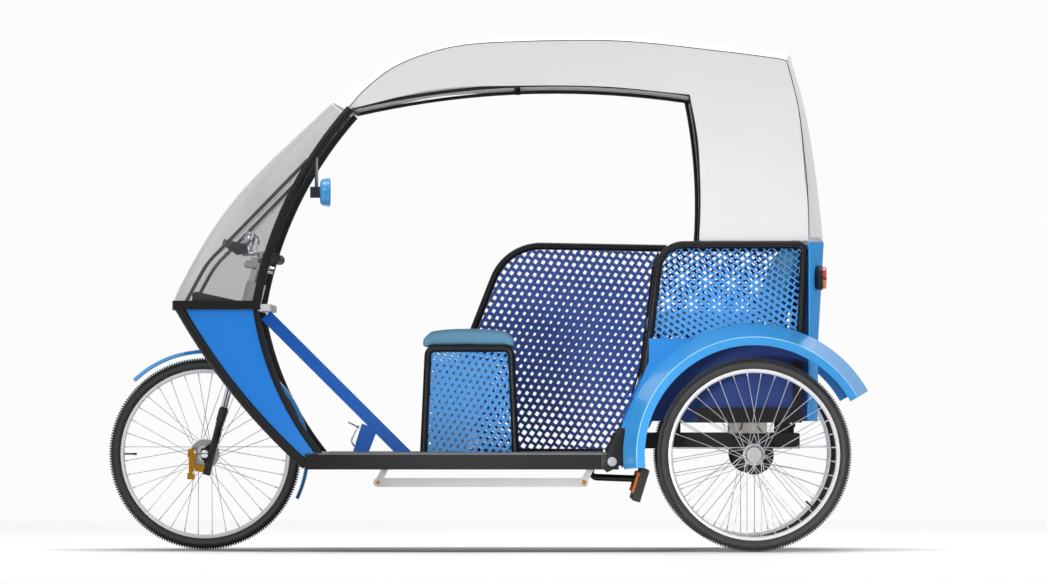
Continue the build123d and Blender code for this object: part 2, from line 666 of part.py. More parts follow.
# ================================================================ driver's place
def seat_frame():
    loops = [bent_tube(at_side(SEAT_LOOP, side * SEAT_HALF), SEAT_BEND, SEAT_TUBE_R) for side in SIDES]
    bars = [rod((x, -SEAT_HALF, z), (x, SEAT_HALF, z), SEAT_BAR_R) for x, z in SEAT_BARS]
    pan = block((SEAT_LOOP[1][0], SEAT_LOOP[2][0]), (-SEAT_HALF + 6, SEAT_HALF - 6),
                (SEAT_LOOP[1][1] + SEAT_TUBE_R - PAN_T, SEAT_LOOP[1][1] + SEAT_TUBE_R))
    floor_zone = block((-300, 200), (-300, 300), (0, FLOOR_TOP + GAP))
    return loops[0].fuse(loops[1], *bars, pan) - floor_zone


def seat_meshes():
    """Infill panels inside the two side loops."""
    panel = plate(SEAT_LOOP, SEAT_HALF - MESH_T / 2, SEAT_HALF + MESH_T / 2)
    panel -= bent_tube(at_side(SEAT_LOOP, SEAT_HALF), SEAT_BEND, SEAT_TUBE_R + GAP)
    for x, z in SEAT_BARS:
        panel -= rod((x, 0, z), (x, SEAT_HALF + SEAT_TUBE_R, z), SEAT_BAR_R + GAP)
    return both_sides(perforated(largest(panel), *SEAT_HOLES))


def cushion(x, half, z, round_off):
    pad = block(x, (-half, half), z)
    return fillet(pad.edges(), round_off)


def foot_brake():
    """A small pedal on the strut's front face."""
    arm = bent_tube(BRAKE_ARM, BRAKE_ARM_BEND, BRAKE_ARM_R)
    tread = plate(BRAKE_TREAD, -BRAKE_TREAD_HALF, BRAKE_TREAD_HALF)
    return (arm + tread) - plate(STRUT, -MAIN_TUBE_HALF, MAIN_TUBE_HALF)


# ================================================================ passenger tub
def loop_tube(side, extra=0.0):
    return bent_tube(at_side(LOOP, side * LOOP_Y), LOOP_BENDS, LOOP_R + extra)


def passenger_frames():
    return Compound([*loop_tube(-1).solids(), *loop_tube(1).solids()])


def side_meshes():
    outline = ((548, MESH_BOTTOM), LOOP[1], LOOP[2], (1058, MESH_BOTTOM))
    panel = plate(outline, LOOP_Y - MESH_T / 2, LOOP_Y + MESH_T / 2) - loop_tube(1, GAP)
    return both_sides(perforated(largest(panel), *SIDE_HOLES))


def tub_sides():
    return both_sides(plate(TUB_SIDE, BODY_HALF - PANEL_T, BODY_HALF))


def tub_back():
    return bowed_sheet(TUB_BACK, BODY_HALF, PANEL_T)


def bench_base():
    """Slanted front under the bench, its deck, and the floor of the space behind it."""
    front_line = [*BENCH_FRONT, *[(x + BENCH_WALL, z) for x, z in reversed(BENCH_FRONT)]]
    front = plate(front_line, -BENCH_HALF, BENCH_HALF)
    across = (-BENCH_HALF, BENCH_HALF)
    front_x, floor_z = BENCH_FRONT[2][0], TUB_RAIL_Z[0]
    web_x, rib_x = front_x + BENCH_WEB_SETBACK, BENCH_FRONT[1][0] - BENCH_WEB_SETBACK
    panels = [
        block((front_x, DECK_END_X), across, DECK_Z),
        block((DECK_END_X - BENCH_WALL, DECK_END_X), across, (floor_z, DECK_Z[1])),
        block((web_x, DECK_END_X), across, (floor_z, floor_z + BENCH_WALL)),
        block((web_x, web_x + BENCH_WALL), across, (floor_z, BENCH_RIB_Z)),
        block((rib_x, web_x + BENCH_WALL), across, (BENCH_RIB_Z - BENCH_WALL, BENCH_RIB_Z)),
    ]
    leg_z = (REAR_RAIL_Z[1] + GAP, floor_z + 1)
    for x in BENCH_LEGS_X:
        for y in (-BENCH_HALF, BENCH_HALF - BENCH_LEG):
            panels.append(block((x, x + BENCH_LEG), (y, y + BENCH_LEG), leg_z))
    low_zone = block((POST_X, RAIL_REAR_X + GAP), (-BODY_HALF, BODY_HALF), (0, RAIL_TOP + GAP))
    side_y = (REAR_RAIL_Y[0] - GAP, BODY_HALF)
    side_zone = block((POST_X, REAR_RAIL_END_X), side_y, (0, REAR_RAIL_Z[1] + GAP))
    return largest(front.fuse(*panels) - low_zone - both_sides(side_zone))


def backrest():
    (x0, z0), (x1, z1) = BACKREST_FOOT, BACKREST_HEAD
    length = hypot(x1 - x0, z1 - z0)
    rear = ((z1 - z0) / length, -(x1 - x0) / length)
    pad = plate(((x0, z0), (x1, z1), (x1 + rear[0] * BACKREST_T, z1 + rear[1] * BACKREST_T),
                 (x0 + rear[0] * BACKREST_T, z0 + rear[1] * BACKREST_T)), -BACKREST_HALF, BACKREST_HALF)
    return fillet(pad.edges(), 18)


def backrest_frame():
    (x0, z0), (x1, z1) = BACKREST_FOOT, BACKREST_HEAD
    length = hypot(x1 - x0, z1 - z0)
    along = ((x1 - x0) / length, (z1 - z0) / length)
    reach = BACKREST_T + BACK_TUBE_R + GAP
    base = (x0 + along[1] * reach, z0 - along[0] * reach)
    top = (base[0] + along[0] * 215, base[1] + along[1] * 215)
    drop = (base[1] - DECK_Z[1]) / along[1] + 20
    foot = (base[0] - along[0] * drop, base[1] - along[1] * drop)
    path = ((foot[0], -BACK_TUBE_HALF, foot[1]), (top[0], -BACK_TUBE_HALF, top[1]),
            (top[0], BACK_TUBE_HALF, top[1]), (foot[0], BACK_TUBE_HALF, foot[1]))
    deck_zone = block((800, 1200), (-500, 500), (DECK_Z[0] - 60, DECK_Z[1] + GAP))
    return bent_tube(path, 60, BACK_TUBE_R) - deck_zone


def guard_tube(extra=0.0):
    return bent_tube(at_side(GUARD, LOOP_Y), GUARD_BENDS, LOOP_R + extra)


def guard_frame():
    """The closed side's guard rail, with a flat sill on the floor."""
    across = (LOOP_Y - LOOP_R, LOOP_Y + LOOP_R)
    sill = block((GUARD[0][0], POST_X - 6), across, (FLOOR_TOP + GAP, GUARD_SILL_Z + 4))
    frame = guard_tube() + sill
    frame -= block((-300, 700), (300, 500), (0, FLOOR_TOP + GAP))
    return largest(frame - loop_tube(1, GAP))


def guard_mesh():
    panel = plate(GUARD_LEAN, LOOP_Y - MESH_T / 2, LOOP_Y + MESH_T / 2)
    panel -= guard_tube(GAP)
    panel -= loop_tube(1, GAP)
    panel -= block((-300, 700), (300, 500), (0, GUARD_SILL_Z + 4 + GAP))
    panel -= rail_gusset((300, 500), GAP)
    return perforated(largest(panel), *GUARD_HOLES)


def fender_profile():
    y_body = BODY_HALF + GAP
    outer = ((FENDER_INNER_R, FENDER_OUTER_Y), (FENDER_LIP_R, FENDER_OUTER_Y),
             (FENDER_SHOULDER_R, FENDER_SHOULDER_Y), (FENDER_SHOULDER_R, y_body))
    inner = ((FENDER_SHOULDER_R - FENDER_T, y_body), (FENDER_SHOULDER_R - FENDER_T, FENDER_SHOULDER_Y - 1),
             (FENDER_LIP_R - 2, FENDER_OUTER_Y - FENDER_T), (FENDER_INNER_R, FENDER_OUTER_Y - FENDER_T))
    return outer + inner


def fenders():
    rear_angle = degrees(acos(FENDER_REACH / FENDER_SHOULDER_R))
    guard = arched(fender_profile(), rear_angle, 180 + FENDER_FRONT_DROP)
    return both_sides(Pos(REAR_AXLE_X, 0, AXLE_Z) * guard)


# ================================================================ canopy
def canopy_roof():
    return bowed_sheet(ROOF, ROOF_HALF, FABRIC_T)


def rail_y():
    return ROOF_HALF - GAP - RAIL_TUBE_R


def canopy_sides(cutter):
    """Side curtains: a strip under the roof's edge that widens behind the post."""
    seam = [(x, z) for x, z, _, _ in ROOF]
    edges = [Line(a, b) for a, b in zip(seam, seam[1:])]
    hem_z = LOOP[1][1] + LOOP_R + GAP
    hem = (SIDE_POST[2][0], hem_z)
    edges += [
        Line(seam[-1], (seam[-1][0], hem_z)),
        Line((seam[-1][0], hem_z), hem),
        ThreePointArc(hem, SIDE_POST[1], SIDE_POST[0]),
        ThreePointArc(SIDE_RAIL[2], SIDE_RAIL[1], SIDE_RAIL[0]),
        Line(SIDE_RAIL[0], seam[0]),
    ]
    curtain = arc_plate(edges, ROOF_HALF + GAP, ROOF_HALF + GAP + FABRIC_T) - cutter
    return both_sides(largest(curtain))


def canopy_frame(cutter):
    y = rail_y()
    bow_drop = FABRIC_T + GAP + BOW_R
    tubes = []
    for side in SIDES:
        tubes.append(arc_tube(SIDE_RAIL, side * y, RAIL_TUBE_R))
        tubes.append(arc_tube(SIDE_POST, side * y, RAIL_TUBE_R))
        (x0, z0), (x1, z1) = REAR_POST
        post_y = side * (y - REAR_POST_INSET)
        tubes.append(rod((x0, post_y, z0), (x1, post_y, z1), BOW_R))
        (corner_x, corner_z), (brace_x, brace_z) = SIDE_POST[0], BRACE_END
        tubes.append(rod((corner_x, side * y, corner_z), (brace_x, post_y, brace_z), RAIL_TUBE_R))
        leg_y = side * (y - BOW_R + RAIL_TUBE_R)
        tubes.append(rod((MID_BOW_X, leg_y, MID_BOW_FOOT_Z), (MID_BOW_X, leg_y, BOWS[0][1] - bow_drop), BOW_R))
    for x, side_z, middle_z in BOWS:
        ends = [(x, side * (y - REAR_POST_INSET), side_z - bow_drop - 2) for side in SIDES]
        bow = ThreePointArc(Vector(*ends[0]), Vector(x, 0, middle_z - bow_drop - 4), Vector(*ends[1]))
        tubes.append(sweep(Plane(origin=bow @ 0, z_dir=bow % 0) * Circle(BOW_R), path=bow))
    _, _, middle_x, middle_z = ROOF[0]
    rail_x, rail_z = SIDE_RAIL[0]
    crest = Vector(middle_x + 24, 0, middle_z + 2)
    front = ThreePointArc(Vector(rail_x, -y, rail_z), crest, Vector(rail_x, y, rail_z))
    tubes.append(sweep(Plane(origin=front @ 0, z_dir=front % 0) * Circle(RAIL_TUBE_R), path=front))
    return tubes[0].fuse(*tubes[1:]) - cutter


# ================================================================ running gear, lamps, mirror
def rear_axle():
    pieces = [rod((REAR_AXLE_X, -HOUSING_END_Y, AXLE_Z), (REAR_AXLE_X, HOUSING_END_Y, AXLE_Z), HOUSING_R)]
    stub_end = WHEEL_Y + STUB_REACH
    pieces.append(rod((REAR_AXLE_X, -stub_end, AXLE_Z), (REAR_AXLE_X, stub_end, AXLE_Z), REAR_STUB_R))
    for side in SIDES:
        y_range = sorted((side * (REAR_RAIL_Y[0] + 8), side * (REAR_RAIL_Y[1] - 8)))
        pieces.append(block(HANGER_X, y_range, (AXLE_Z - HOUSING_R - 4, REAR_RAIL_Z[0] - GAP)))
    return pieces[0].fuse(*pieces[1:])


def motor():
    z = REAR_RAIL_Z[1] + GAP + MOTOR_R
    body = rod((MOTOR_X, -MOTOR_HALF, z), (MOTOR_X, MOTOR_HALF, z), MOTOR_R)
    flange = block((MOTOR_X - 28, MOTOR_X + 28), (-MOTOR_HALF - 12, -MOTOR_HALF + 12), (REAR_RAIL_Z[1] + GAP, z + 12))
    return body + flange


def lamp_housings():
    skin = bowed_sheet(TUB_BACK, BODY_HALF, 120, GAP)
    housing = rod((1060, LAMP_Y, LAMP_Z), (LAMP_X[0], LAMP_Y, LAMP_Z), LAMP_R)
    return both_sides(largest(housing - skin))


def lamp_lenses():
    lens = rod((LAMP_X[0] + GAP, LAMP_Y, LAMP_Z), (LAMP_X[1], LAMP_Y, LAMP_Z), LAMP_R - 4)
    return both_sides(fillet(lens.edges().group_by(Axis.X)[-1], 6))


def mirror_arm(cutter):
    low, high = MIRROR_ROD_Z
    stem = rod((MIRROR_X, MIRROR_Y, high), (MIRROR_X, MIRROR_Y, low), MIRROR_ROD_R)
    return largest((stem + block(*MIRROR_JOINT)) - cutter)


def mirror_head():
    outline = Plane(origin=MIRROR_MIDDLE, x_dir=(0, 1, 0), z_dir=(1, 0, 0)) * Ellipse(*MIRROR_SIZE)
    return fillet(extrude(outline, amount=MIRROR_DEPTH, dir=(1, 0, 0)).edges(), MIRROR_ROUNDING)


# ================================================================ steering
def fork():
    """Legs, crown and column in one piece, with the front axle between the lugs."""
    pieces = [rod(on_axis(CROWN_Z[0] + 5), on_axis(COLUMN_TOP_Z), COLUMN_R)]
    crown = Plane(origin=on_axis(CROWN_Z[0]), x_dir=(0, 1, 0), z_dir=STEER_AXIS) * Box(
        2 * FORK_LEG_Y + 34, CROWN_DEPTH, CROWN_Z[1] - CROWN_Z[0], align=(Align.CENTER, Align.CENTER, Align.MIN))
    pieces.append(crown)
    for side in SIDES:
        aside = Vector(0, side * FORK_LEG_Y, 0)
        pieces.append(rod(on_axis(LEG_FOOT_Z) + aside, on_axis(LEG_CHANGE_Z) + aside, LOWER_LEG_R))
        pieces.append(rod(on_axis(LEG_CHANGE_Z - 5) + aside, on_axis(CROWN_Z[1] - 3) + aside, STANCHION_R))
        y_range = sorted(side * y for y in FORK_LUG_Y)
        pieces.append(plate(FORK_LUG, *y_range))
    reach = FORK_LEG_Y + 9
    pieces.append(rod((FRONT_AXLE_X, -reach, AXLE_Z), (FRONT_AXLE_X, reach, AXLE_Z), FRONT_AXLE_R))
    return pieces[0].fuse(*pieces[1:])


def handlebar():
    """Stem, clamp and swept bar, seated on the column."""
    stem = rod(on_axis(COLUMN_TOP_Z) + STEER_AXIS * GAP, on_axis(STEM_TOP_Z), STEM_R)
    forward = Vector(-STEER_AXIS.Z, 0, STEER_AXIS.X)
    middle = on_axis(CLAMP_Z)
    clamp = rod(middle - forward * (CLAMP_HALF - 8), middle + forward * CLAMP_HALF, CLAMP_R)
    left = [(x, -y, z) for x, y, z in reversed(BAR_POINTS[1:])]
    path = left + [p for p in BAR_POINTS[1:]]
    bar = bent_tube(path, 60, BAR_R)
    bridge = rod(on_axis(991), Vector(*BAR_POINTS[0]), 9)
    column = rod(on_axis(HEAD_Z[1]), on_axis(COLUMN_TOP_Z) + STEER_AXIS * GAP, COLUMN_R + GAP)
    return largest(stem.fuse(clamp, bar, bridge) - column)


def grip_line():
    (x0, y0, z0), (x1, y1, z1) = BAR_POINTS[2], BAR_POINTS[3]
    outward = (Vector(x1, y1, z1) - Vector(x0, y0, z0)).normalized()
    return Vector(x1, y1, z1), outward


def grips():
    end, outward = grip_line()
    start = end - outward * GRIP_LENGTH
    sleeve = rod(start, end + outward * 4, GRIP_R) - rod(start - outward, end + outward * GAP, BAR_R + GAP)
    return both_sides(sleeve)


def brake_levers():
    end, outward = grip_line()
    forward = Vector(-outward.Y, outward.X, 0)
    perch = end - outward * (GRIP_LENGTH + 16)
    ring = rod(perch, perch + outward * 14, BAR_R + 7) - rod(perch - outward, perch + outward * 15, BAR_R + GAP)
    reach = perch + outward * 7
    blade = bent_tube([tuple(reach + forward * (BAR_R + 3)), tuple(reach + forward * 46 + Vector(0, 0, -6)),
                       tuple(reach + outward * 118 + forward * 52 + Vector(0, 0, -14))], 14, 4.5)
    return both_sides(largest(ring + blade))


def bell_cup():
    """The bright cup on the stem, and the dark control pod ahead of it."""
    base = on_axis(STEM_TOP_Z) + CUP_SHIFT
    cup = rod(base, base + STEER_AXIS * CUP_HEIGHT, CUP_R)
    front_x, rear_x, low_z, high_z = CUP_FOOT
    foot = block((base.X + front_x, base.X + rear_x), (-CUP_FOOT_HALF, CUP_FOOT_HALF),
                 (STEM_TOP_Z + low_z, STEM_TOP_Z + high_z))
    stem = rod(on_axis(COLUMN_TOP_Z), on_axis(STEM_TOP_Z) + STEER_AXIS * GAP, STEM_R + GAP)
    return largest((cup + foot) - stem)


def control_pod():
    base = on_axis(STEM_TOP_Z) + CUP_SHIFT
    cup = rod(base - STEER_AXIS * CUP_R, base + STEER_AXIS * (CUP_HEIGHT + CUP_R), CUP_R + GAP)
    return largest(plate(POD, -POD_HALF, POD_HALF) - cup)


def front_mudguard():
    edge, crown, thick = MUDGUARD_R - 10, MUDGUARD_R, MUDGUARD_T
    outer = ((edge, -MUDGUARD_HALF), (crown - 2, -22), (crown, 0), (crown - 2, 22), (edge, MUDGUARD_HALF))
    inner = tuple((r - thick, y) for r, y in reversed(outer))
    shell = Pos(FRONT_AXLE_X, 0, AXLE_Z) * arched(outer + inner, MUDGUARD_FROM, MUDGUARD_TO)
    foot = rod(on_axis(CROWN_Z[0] - 34), on_axis(CROWN_Z[0]) - STEER_AXIS * GAP, 12)
    core = Pos(FRONT_AXLE_X, 0, AXLE_Z) * turned(((0, -60), (MUDGUARD_R - 6, -60), (MUDGUARD_R - 6, 60), (0, 60)))
    return shell + (foot - core)


def front_caliper():
    """Brake caliper ahead of the left leg."""
    pieces = [plate(outline, -FORK_LEG_Y - outside, -FORK_LEG_Y + inside)
              for outline, outside, inside in CALIPER_PLATES]
    pad_x, pad_z = CALIPER_PAD
    pads = block(pad_x, (-FORK_LEG_Y, -FRONT_DISC_Y - PAD_CLEARANCE), pad_z)
    aside = Vector(0, -FORK_LEG_Y, 0)
    leg = rod(on_axis(LEG_FOOT_Z - LOWER_LEG_R) + aside, on_axis(LEG_CHANGE_Z) + aside, LOWER_LEG_R + GAP)
    lug = plate(FORK_LUG, -FORK_LUG_Y[1] - GAP, -FORK_LUG_Y[0] + GAP)
    return largest(pieces[0].fuse(*pieces[1:], pads) - leg - lug)


# ================================================================ boarding step
def crank(pivot_x, side=-1):
    """The arm from a step pivot to its link pin, on the left."""
    pin = (pivot_x + CRANK[0], STEP_PIVOT_Z + CRANK[1])
    y0, y1 = sorted((side * CRANK_Y[0], side * CRANK_Y[1]))
    length = hypot(*CRANK)
    across = (-CRANK[1] / length * 11, CRANK[0] / length * 11)
    web = plate(((pivot_x + across[0], STEP_PIVOT_Z + across[1]), (pin[0] + across[0], pin[1] + across[1]),
                 (pin[0] - across[0], pin[1] - across[1]), (pivot_x - across[0], STEP_PIVOT_Z - across[1])), y0, y1)
    boss = rod((pivot_x, y0, STEP_PIVOT_Z), (pivot_x, y1, STEP_PIVOT_Z), CRANK_BOSS_R)
    eye = rod((pin[0], y0, pin[1]), (pin[0], y1, pin[1]), 14)
    pin_bar = rod((pin[0], side * (CRANK_Y[1] + 2), pin[1]), (pin[0], side * (ROD_Y[0] - 4), pin[1]), PIN_R)
    return web.fuse(boss, eye, pin_bar)


def step_front_crank():
    x = STEP_PIVOTS_X[0]
    return crank(x) + rod((x, -SHAFT_END_Y, STEP_PIVOT_Z), (x, -CRANK_Y[0], STEP_PIVOT_Z), SHAFT_R)


def step_rear_crank():
    x = STEP_PIVOTS_X[1]
    return crank(x) - rod((x, -500, STEP_PIVOT_Z), (x, 0, STEP_PIVOT_Z), SHAFT_R + GAP)


def step_arms():
    """Cross shaft with the two arms that carry the board."""
    x = STEP_PIVOTS_X[1]
    shaft = rod((x, -SHAFT_END_Y, STEP_PIVOT_Z), (x, SHAFT_END_Y, STEP_PIVOT_Z), SHAFT_R)
    arms = []
    for side in SIDES:
        y = side * ARM_Y
        arms.append(bent_tube(at_side(ARM_POINTS, y), 20, ARM_T / 2))
    return shaft.fuse(*arms) - board_zone(GAP)


def board_zone(extra=0.0):
    width, height = BOARD_SIZE
    board = Box(width + 2 * extra, 2 * (BOARD_HALF + extra), height + 2 * extra)
    return Pos(BOARD_CENTRE[0], 0, BOARD_CENTRE[1]) * Rot(0, BOARD_TILT, 0) * board


def step_board():
    return fillet(board_zone().edges().filter_by(Axis.Y), 5)


def step_reflectors():
    """Amber blocks on the board's front face, beside the arms."""
    width, _ = BOARD_SIZE
    pads = []
    for side in SIDES:
        pad = Box(8, 46, 72)
        pads.append(Pos(BOARD_CENTRE[0], 0, BOARD_CENTRE[1]) * Rot(0, BOARD_TILT, 0)
                    * Pos(-width / 2 - 4 - GAP, side * (ARM_Y + 34 + ARM_T / 2), 4) * pad)
    return Compound([solid for pad in pads for solid in pad.solids()])


def step_rod():
    z = STEP_PIVOT_Z + CRANK[1]
    x0, x1 = [x + CRANK[0] for x in STEP_PIVOTS_X]
    y0, y1 = -ROD_Y[1], -ROD_Y[0]
    bar = block((x0, x1), (y0, y1), (z - ROD_HALF_HEIGHT, z + ROD_HALF_HEIGHT))
    for x in (x0, x1):
        bar += rod((x, y0, z), (x, y1, z), ROD_HALF_HEIGHT)
    for x in (x0, x1):
        bar -= rod((x, y0 - 1, z), (x, y1 + 1, z), PIN_R + RUNNING)
    return bar


# ================================================================ assembly
def build():
    frame_cutter = front_frame(GAP)
    stay_cutter = screen_stays(frame_cutter, GAP)
    nodes = {
        "chassis_frame": Compound([*chassis_frame().solids(), *tub_rails().solids()]),
        "floor": block((FRONT_CROSS_X, POST_X - GAP), (-BODY_HALF, BODY_HALF), (RAIL_TOP, FLOOR_TOP)),
        "front_frame": front_frame(),
        "fairing_panels": fairing_panels(frame_cutter),
        "nose_apron": nose_apron(frame_cutter),
        "screen_stays": screen_stays(frame_cutter),
        "quarter_windows": quarter_windows(frame_cutter, stay_cutter),
        "windscreen": windscreen(),
        "dash_shelf": plate(DASH, -TUBE_Y + 4, TUBE_Y - 4) - stay_cutter,
        "steering_head": steering_head(frame_cutter),
        "main_tube": main_tube(),
        "seat_frame": seat_frame(),
        "seat_locker": plate(LOCKER, -LOCKER_HALF, LOCKER_HALF),
        "seat_meshes": seat_meshes(),
        "driver_cushion": cushion(CUSHION_X, SEAT_HALF + SEAT_TUBE_R,
                                  (SEAT_LOOP[1][1] + SEAT_TUBE_R + GAP, SEAT_LOOP[1][1] + SEAT_TUBE_R + CUSHION_T), 16),
        "foot_brake": foot_brake(),
        "passenger_frames": passenger_frames(),
        "side_meshes": side_meshes(),
        "tub_sides": tub_sides(),
        "tub_back": tub_back(),
        "bench_base": bench_base(),
        "bench_cushion": cushion(BENCH_X, BENCH_CUSHION_HALF, (DECK_Z[1] + GAP, DECK_Z[1] + BENCH_T), 20),
        "backrest_cushion": backrest(),
        "backrest_frame": backrest_frame(),
        "guard_frame": guard_frame(),
        "guard_mesh": guard_mesh(),
        "fenders": fenders(),
        "canopy_roof": canopy_roof(),
        "canopy_sides": canopy_sides(frame_cutter),
        "canopy_frame": canopy_frame(frame_cutter),
        "rear_axle": rear_axle(),
        "battery_box": block(BATTERY_X, (-BATTERY_HALF, BATTERY_HALF), BATTERY_Z),
        "drive_motor": motor(),
        "lamp_housings": lamp_housings(),
        "lamp_lenses": lamp_lenses(),
        "mirror_arm": mirror_arm(frame_cutter),
        "mirror_head": mirror_head(),
        "fork": fork(),
        "handlebar": handlebar(),
        "grips": grips(),
        "hand_controls": Compound([*brake_levers().solids(), *control_pod().solids()]),
        "bell_cup": bell_cup(),
        "front_mudguard": front_mudguard(),
        "front_caliper": front_caliper(),
        "step_front_crank": step_front_crank(),
        "step_rear_crank": step_rear_crank(),
        "step_arms": step_arms(),
        "step_board": step_board(),
        "step_reflectors": step_reflectors(),
        "step_rod": step_rod(),
    }
    front_place = Pos(FRONT_AXLE_X, 0, AXLE_Z)
    nodes["front_tyre"] = front_place * tyre()
    hub_half = FORK_LEG_Y - LOWER_LEG_R - 5
    nodes["front_rim"] = front_place * laced_rim(FRONT_FLANGE_Y, -hub_half, hub_half, FRONT_AXLE_R + RUNNING)
    nodes["front_disc"] = front_place * disc(FRONT_DISC_R, HUB_R + GAP, -FRONT_DISC_Y)
    tyre_shape = tyre()
    rear_rim = laced_rim(REAR_FLANGE_Y, *REAR_HUB_Y, REAR_STUB_R + RUNNING, CAP_T)
    rear_disc = disc(REAR_DISC_R, REAR_DISC_BORE_R, -REAR_DISC_Y)
    for name, side in (("left", -1), ("right", 1)):
        place = Pos(REAR_AXLE_X, side * WHEEL_Y, AXLE_Z)
        for node, shape in (("tyre", tyre_shape), ("rim", rear_rim), ("disc", rear_disc)):
            if side < 0:
                shape = mirror(shape, about=Plane.XZ)
            nodes[f"{name}_{node}"] = place * shape
    return nodes


os.makedirs("parts", exist_ok=True)
for node_name, node_shape in build().items():
    export_step(node_shape, f"parts/{node_name}.step")
    box = node_shape.bounding_box()
    print(f"{node_name:18s} {len(node_shape.solids())} solid(s)  "
          f"x {box.min.X:8.1f} {box.max.X:8.1f}  y {box.min.Y:7.1f} {box.max.Y:7.1f}  z {box.min.Z:7.1f} {box.max.Z:7.1f}")
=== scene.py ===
# %% [markdown]
# # A three-wheel cycle rickshaw, dressed step by step
#
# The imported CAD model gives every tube, panel and wheel at its real size. Blender adds what CAD
# leaves plain: cloth, cushions, tyre tread, glass, small fittings and all the finishes. Nothing
# from the CAD model is moved. Each new piece rides on the CAD body that carries it, so it turns,
# steers or folds with that body.

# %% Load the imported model
import json
import bpy
from math import atan2, cos, degrees, hypot, pi, radians, sin
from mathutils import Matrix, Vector
from mathutils.geometry import convex_hull_2d


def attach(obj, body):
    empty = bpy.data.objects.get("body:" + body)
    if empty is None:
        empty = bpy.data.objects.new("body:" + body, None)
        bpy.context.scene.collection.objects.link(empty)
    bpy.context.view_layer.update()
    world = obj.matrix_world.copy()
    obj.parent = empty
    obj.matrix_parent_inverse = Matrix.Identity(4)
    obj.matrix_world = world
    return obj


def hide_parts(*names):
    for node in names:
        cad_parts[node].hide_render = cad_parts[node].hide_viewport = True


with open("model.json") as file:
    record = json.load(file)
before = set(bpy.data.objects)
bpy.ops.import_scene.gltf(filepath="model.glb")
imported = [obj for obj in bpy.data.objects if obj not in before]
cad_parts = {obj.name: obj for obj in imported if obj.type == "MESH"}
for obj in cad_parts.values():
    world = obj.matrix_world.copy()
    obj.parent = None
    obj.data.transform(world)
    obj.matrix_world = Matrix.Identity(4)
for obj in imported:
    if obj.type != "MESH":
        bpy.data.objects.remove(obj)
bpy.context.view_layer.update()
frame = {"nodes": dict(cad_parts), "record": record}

# %% [markdown]
# ## Helpers for working as by hand
#
# Blender's operators act on whatever is selected, and the loaded CAD nodes arrive selected. So
# every modelling step first clears the selection. A finished piece has its place in its mesh and
# its object at the origin, as the CAD nodes have, so that patterns stay put when a body moves.

# %% Selection and finishing helpers
def clear():
    """Leave edit mode and deselect everything."""
    if bpy.context.object and bpy.context.object.mode != "OBJECT":
        bpy.ops.object.mode_set(mode="OBJECT")
    bpy.ops.object.select_all(action="DESELECT")


def pick(piece):
    """Make this piece the only one selected, and the active one."""
    clear()
    piece.select_set(True)
    bpy.context.view_layer.objects.active = piece
    return piece


def apply_place(piece):
    """Write the object's place, turn and scale into its mesh."""
    pick(piece)
    bpy.ops.object.transform_apply(location=True, rotation=True, scale=True)


def apply_modifiers(piece):
    """Make the piece's modifiers part of its mesh, in their order."""
    pick(piece)
    for modifier in list(piece.modifiers):
        bpy.ops.object.modifier_apply(modifier=modifier.name)


def face_out(piece, gap=0.00002):
    """Merge points closer than the gap, and turn every face outwards, away from the origin."""
    pick(piece)
    bpy.ops.object.mode_set(mode="EDIT")
    bpy.ops.mesh.select_all(action="SELECT")
    bpy.ops.mesh.remove_doubles(threshold=gap)
    bpy.ops.mesh.normals_make_consistent(inside=False)
    bpy.ops.object.mode_set(mode="OBJECT")
    if sum(face.normal.dot(face.center) * face.area for face in piece.data.polygons) < 0:
        bpy.ops.object.mode_set(mode="EDIT")
        bpy.ops.mesh.flip_normals()
        bpy.ops.object.mode_set(mode="OBJECT")


def finish_piece(piece, name, body, material, smooth=35.0):
    """Name a piece, settle its place, give it its finish and let it ride on a body."""
    piece.name = name
    piece.data.name = name
    apply_place(piece)
    piece.data.materials.clear()
    piece.data.materials.append(material)
    if smooth:
        bpy.ops.object.shade_smooth_by_angle(angle=radians(smooth))
    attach(piece, body)
    return piece


def joined(name, *pieces):
    """Several pieces made one, under a new name."""
    clear()
    for piece in pieces:
        piece.select_set(True)
    bpy.context.view_layer.objects.active = pieces[0]
    bpy.ops.object.join()
    bpy.context.object.name = name
    return bpy.context.object


def copy_of(model, name, place):
    """A copy with its own mesh, moved to its place."""
    copy = model.copy()
    copy.data = model.data.copy()
    bpy.context.scene.collection.objects.link(copy)
    copy.location = place
    copy.name = name
    return copy


print("helpers ready")

# %% [markdown]
# ## Shared surface effects
#
# A perfectly even colour looks like plastic from a catalogue. Real paint, cloth and metal vary a
# little in tone and gloss over a few centimetres, and have a fine grain. These two effects are
# used by many finishes, so each is a node group with named inputs, built once.

# %% A node helper and the colour helper
def rgb(red, green, blue):
    """A colour as Blender wants it, from the 0 to 255 values a colour picker shows."""
    channels = [value / 255 for value in (red, green, blue)]
    linear = [c / 12.92 if c <= 0.04045 else ((c + 0.055) / 1.055) ** 2.4 for c in channels]
    return (*linear, 1.0)


def add_node(tree, kind, place=(0, 0), **values):
    """Add a node; keyword names are its properties."""
    node = tree.nodes.new(kind)
    node.location = place
    for key, value in values.items():
        setattr(node, key, value)
    return node


def new_group(name, inputs, outputs):
    """An empty shader group with its sockets; each socket is (name, type, start value)."""
    group = bpy.data.node_groups.new(name, "ShaderNodeTree")
    for label, kind, start in inputs:
        socket = group.interface.new_socket(name=label, in_out="INPUT", socket_type=kind)
        if start is not None:
            socket.default_value = start
    for label, kind, _ in outputs:
        group.interface.new_socket(name=label, in_out="OUTPUT", socket_type=kind)
    way_in = add_node(group, "NodeGroupInput", (-900, 0))
    way_out = add_node(group, "NodeGroupOutput", (600, 0))
    return group, way_in, way_out


print("white is", rgb(255, 255, 255))

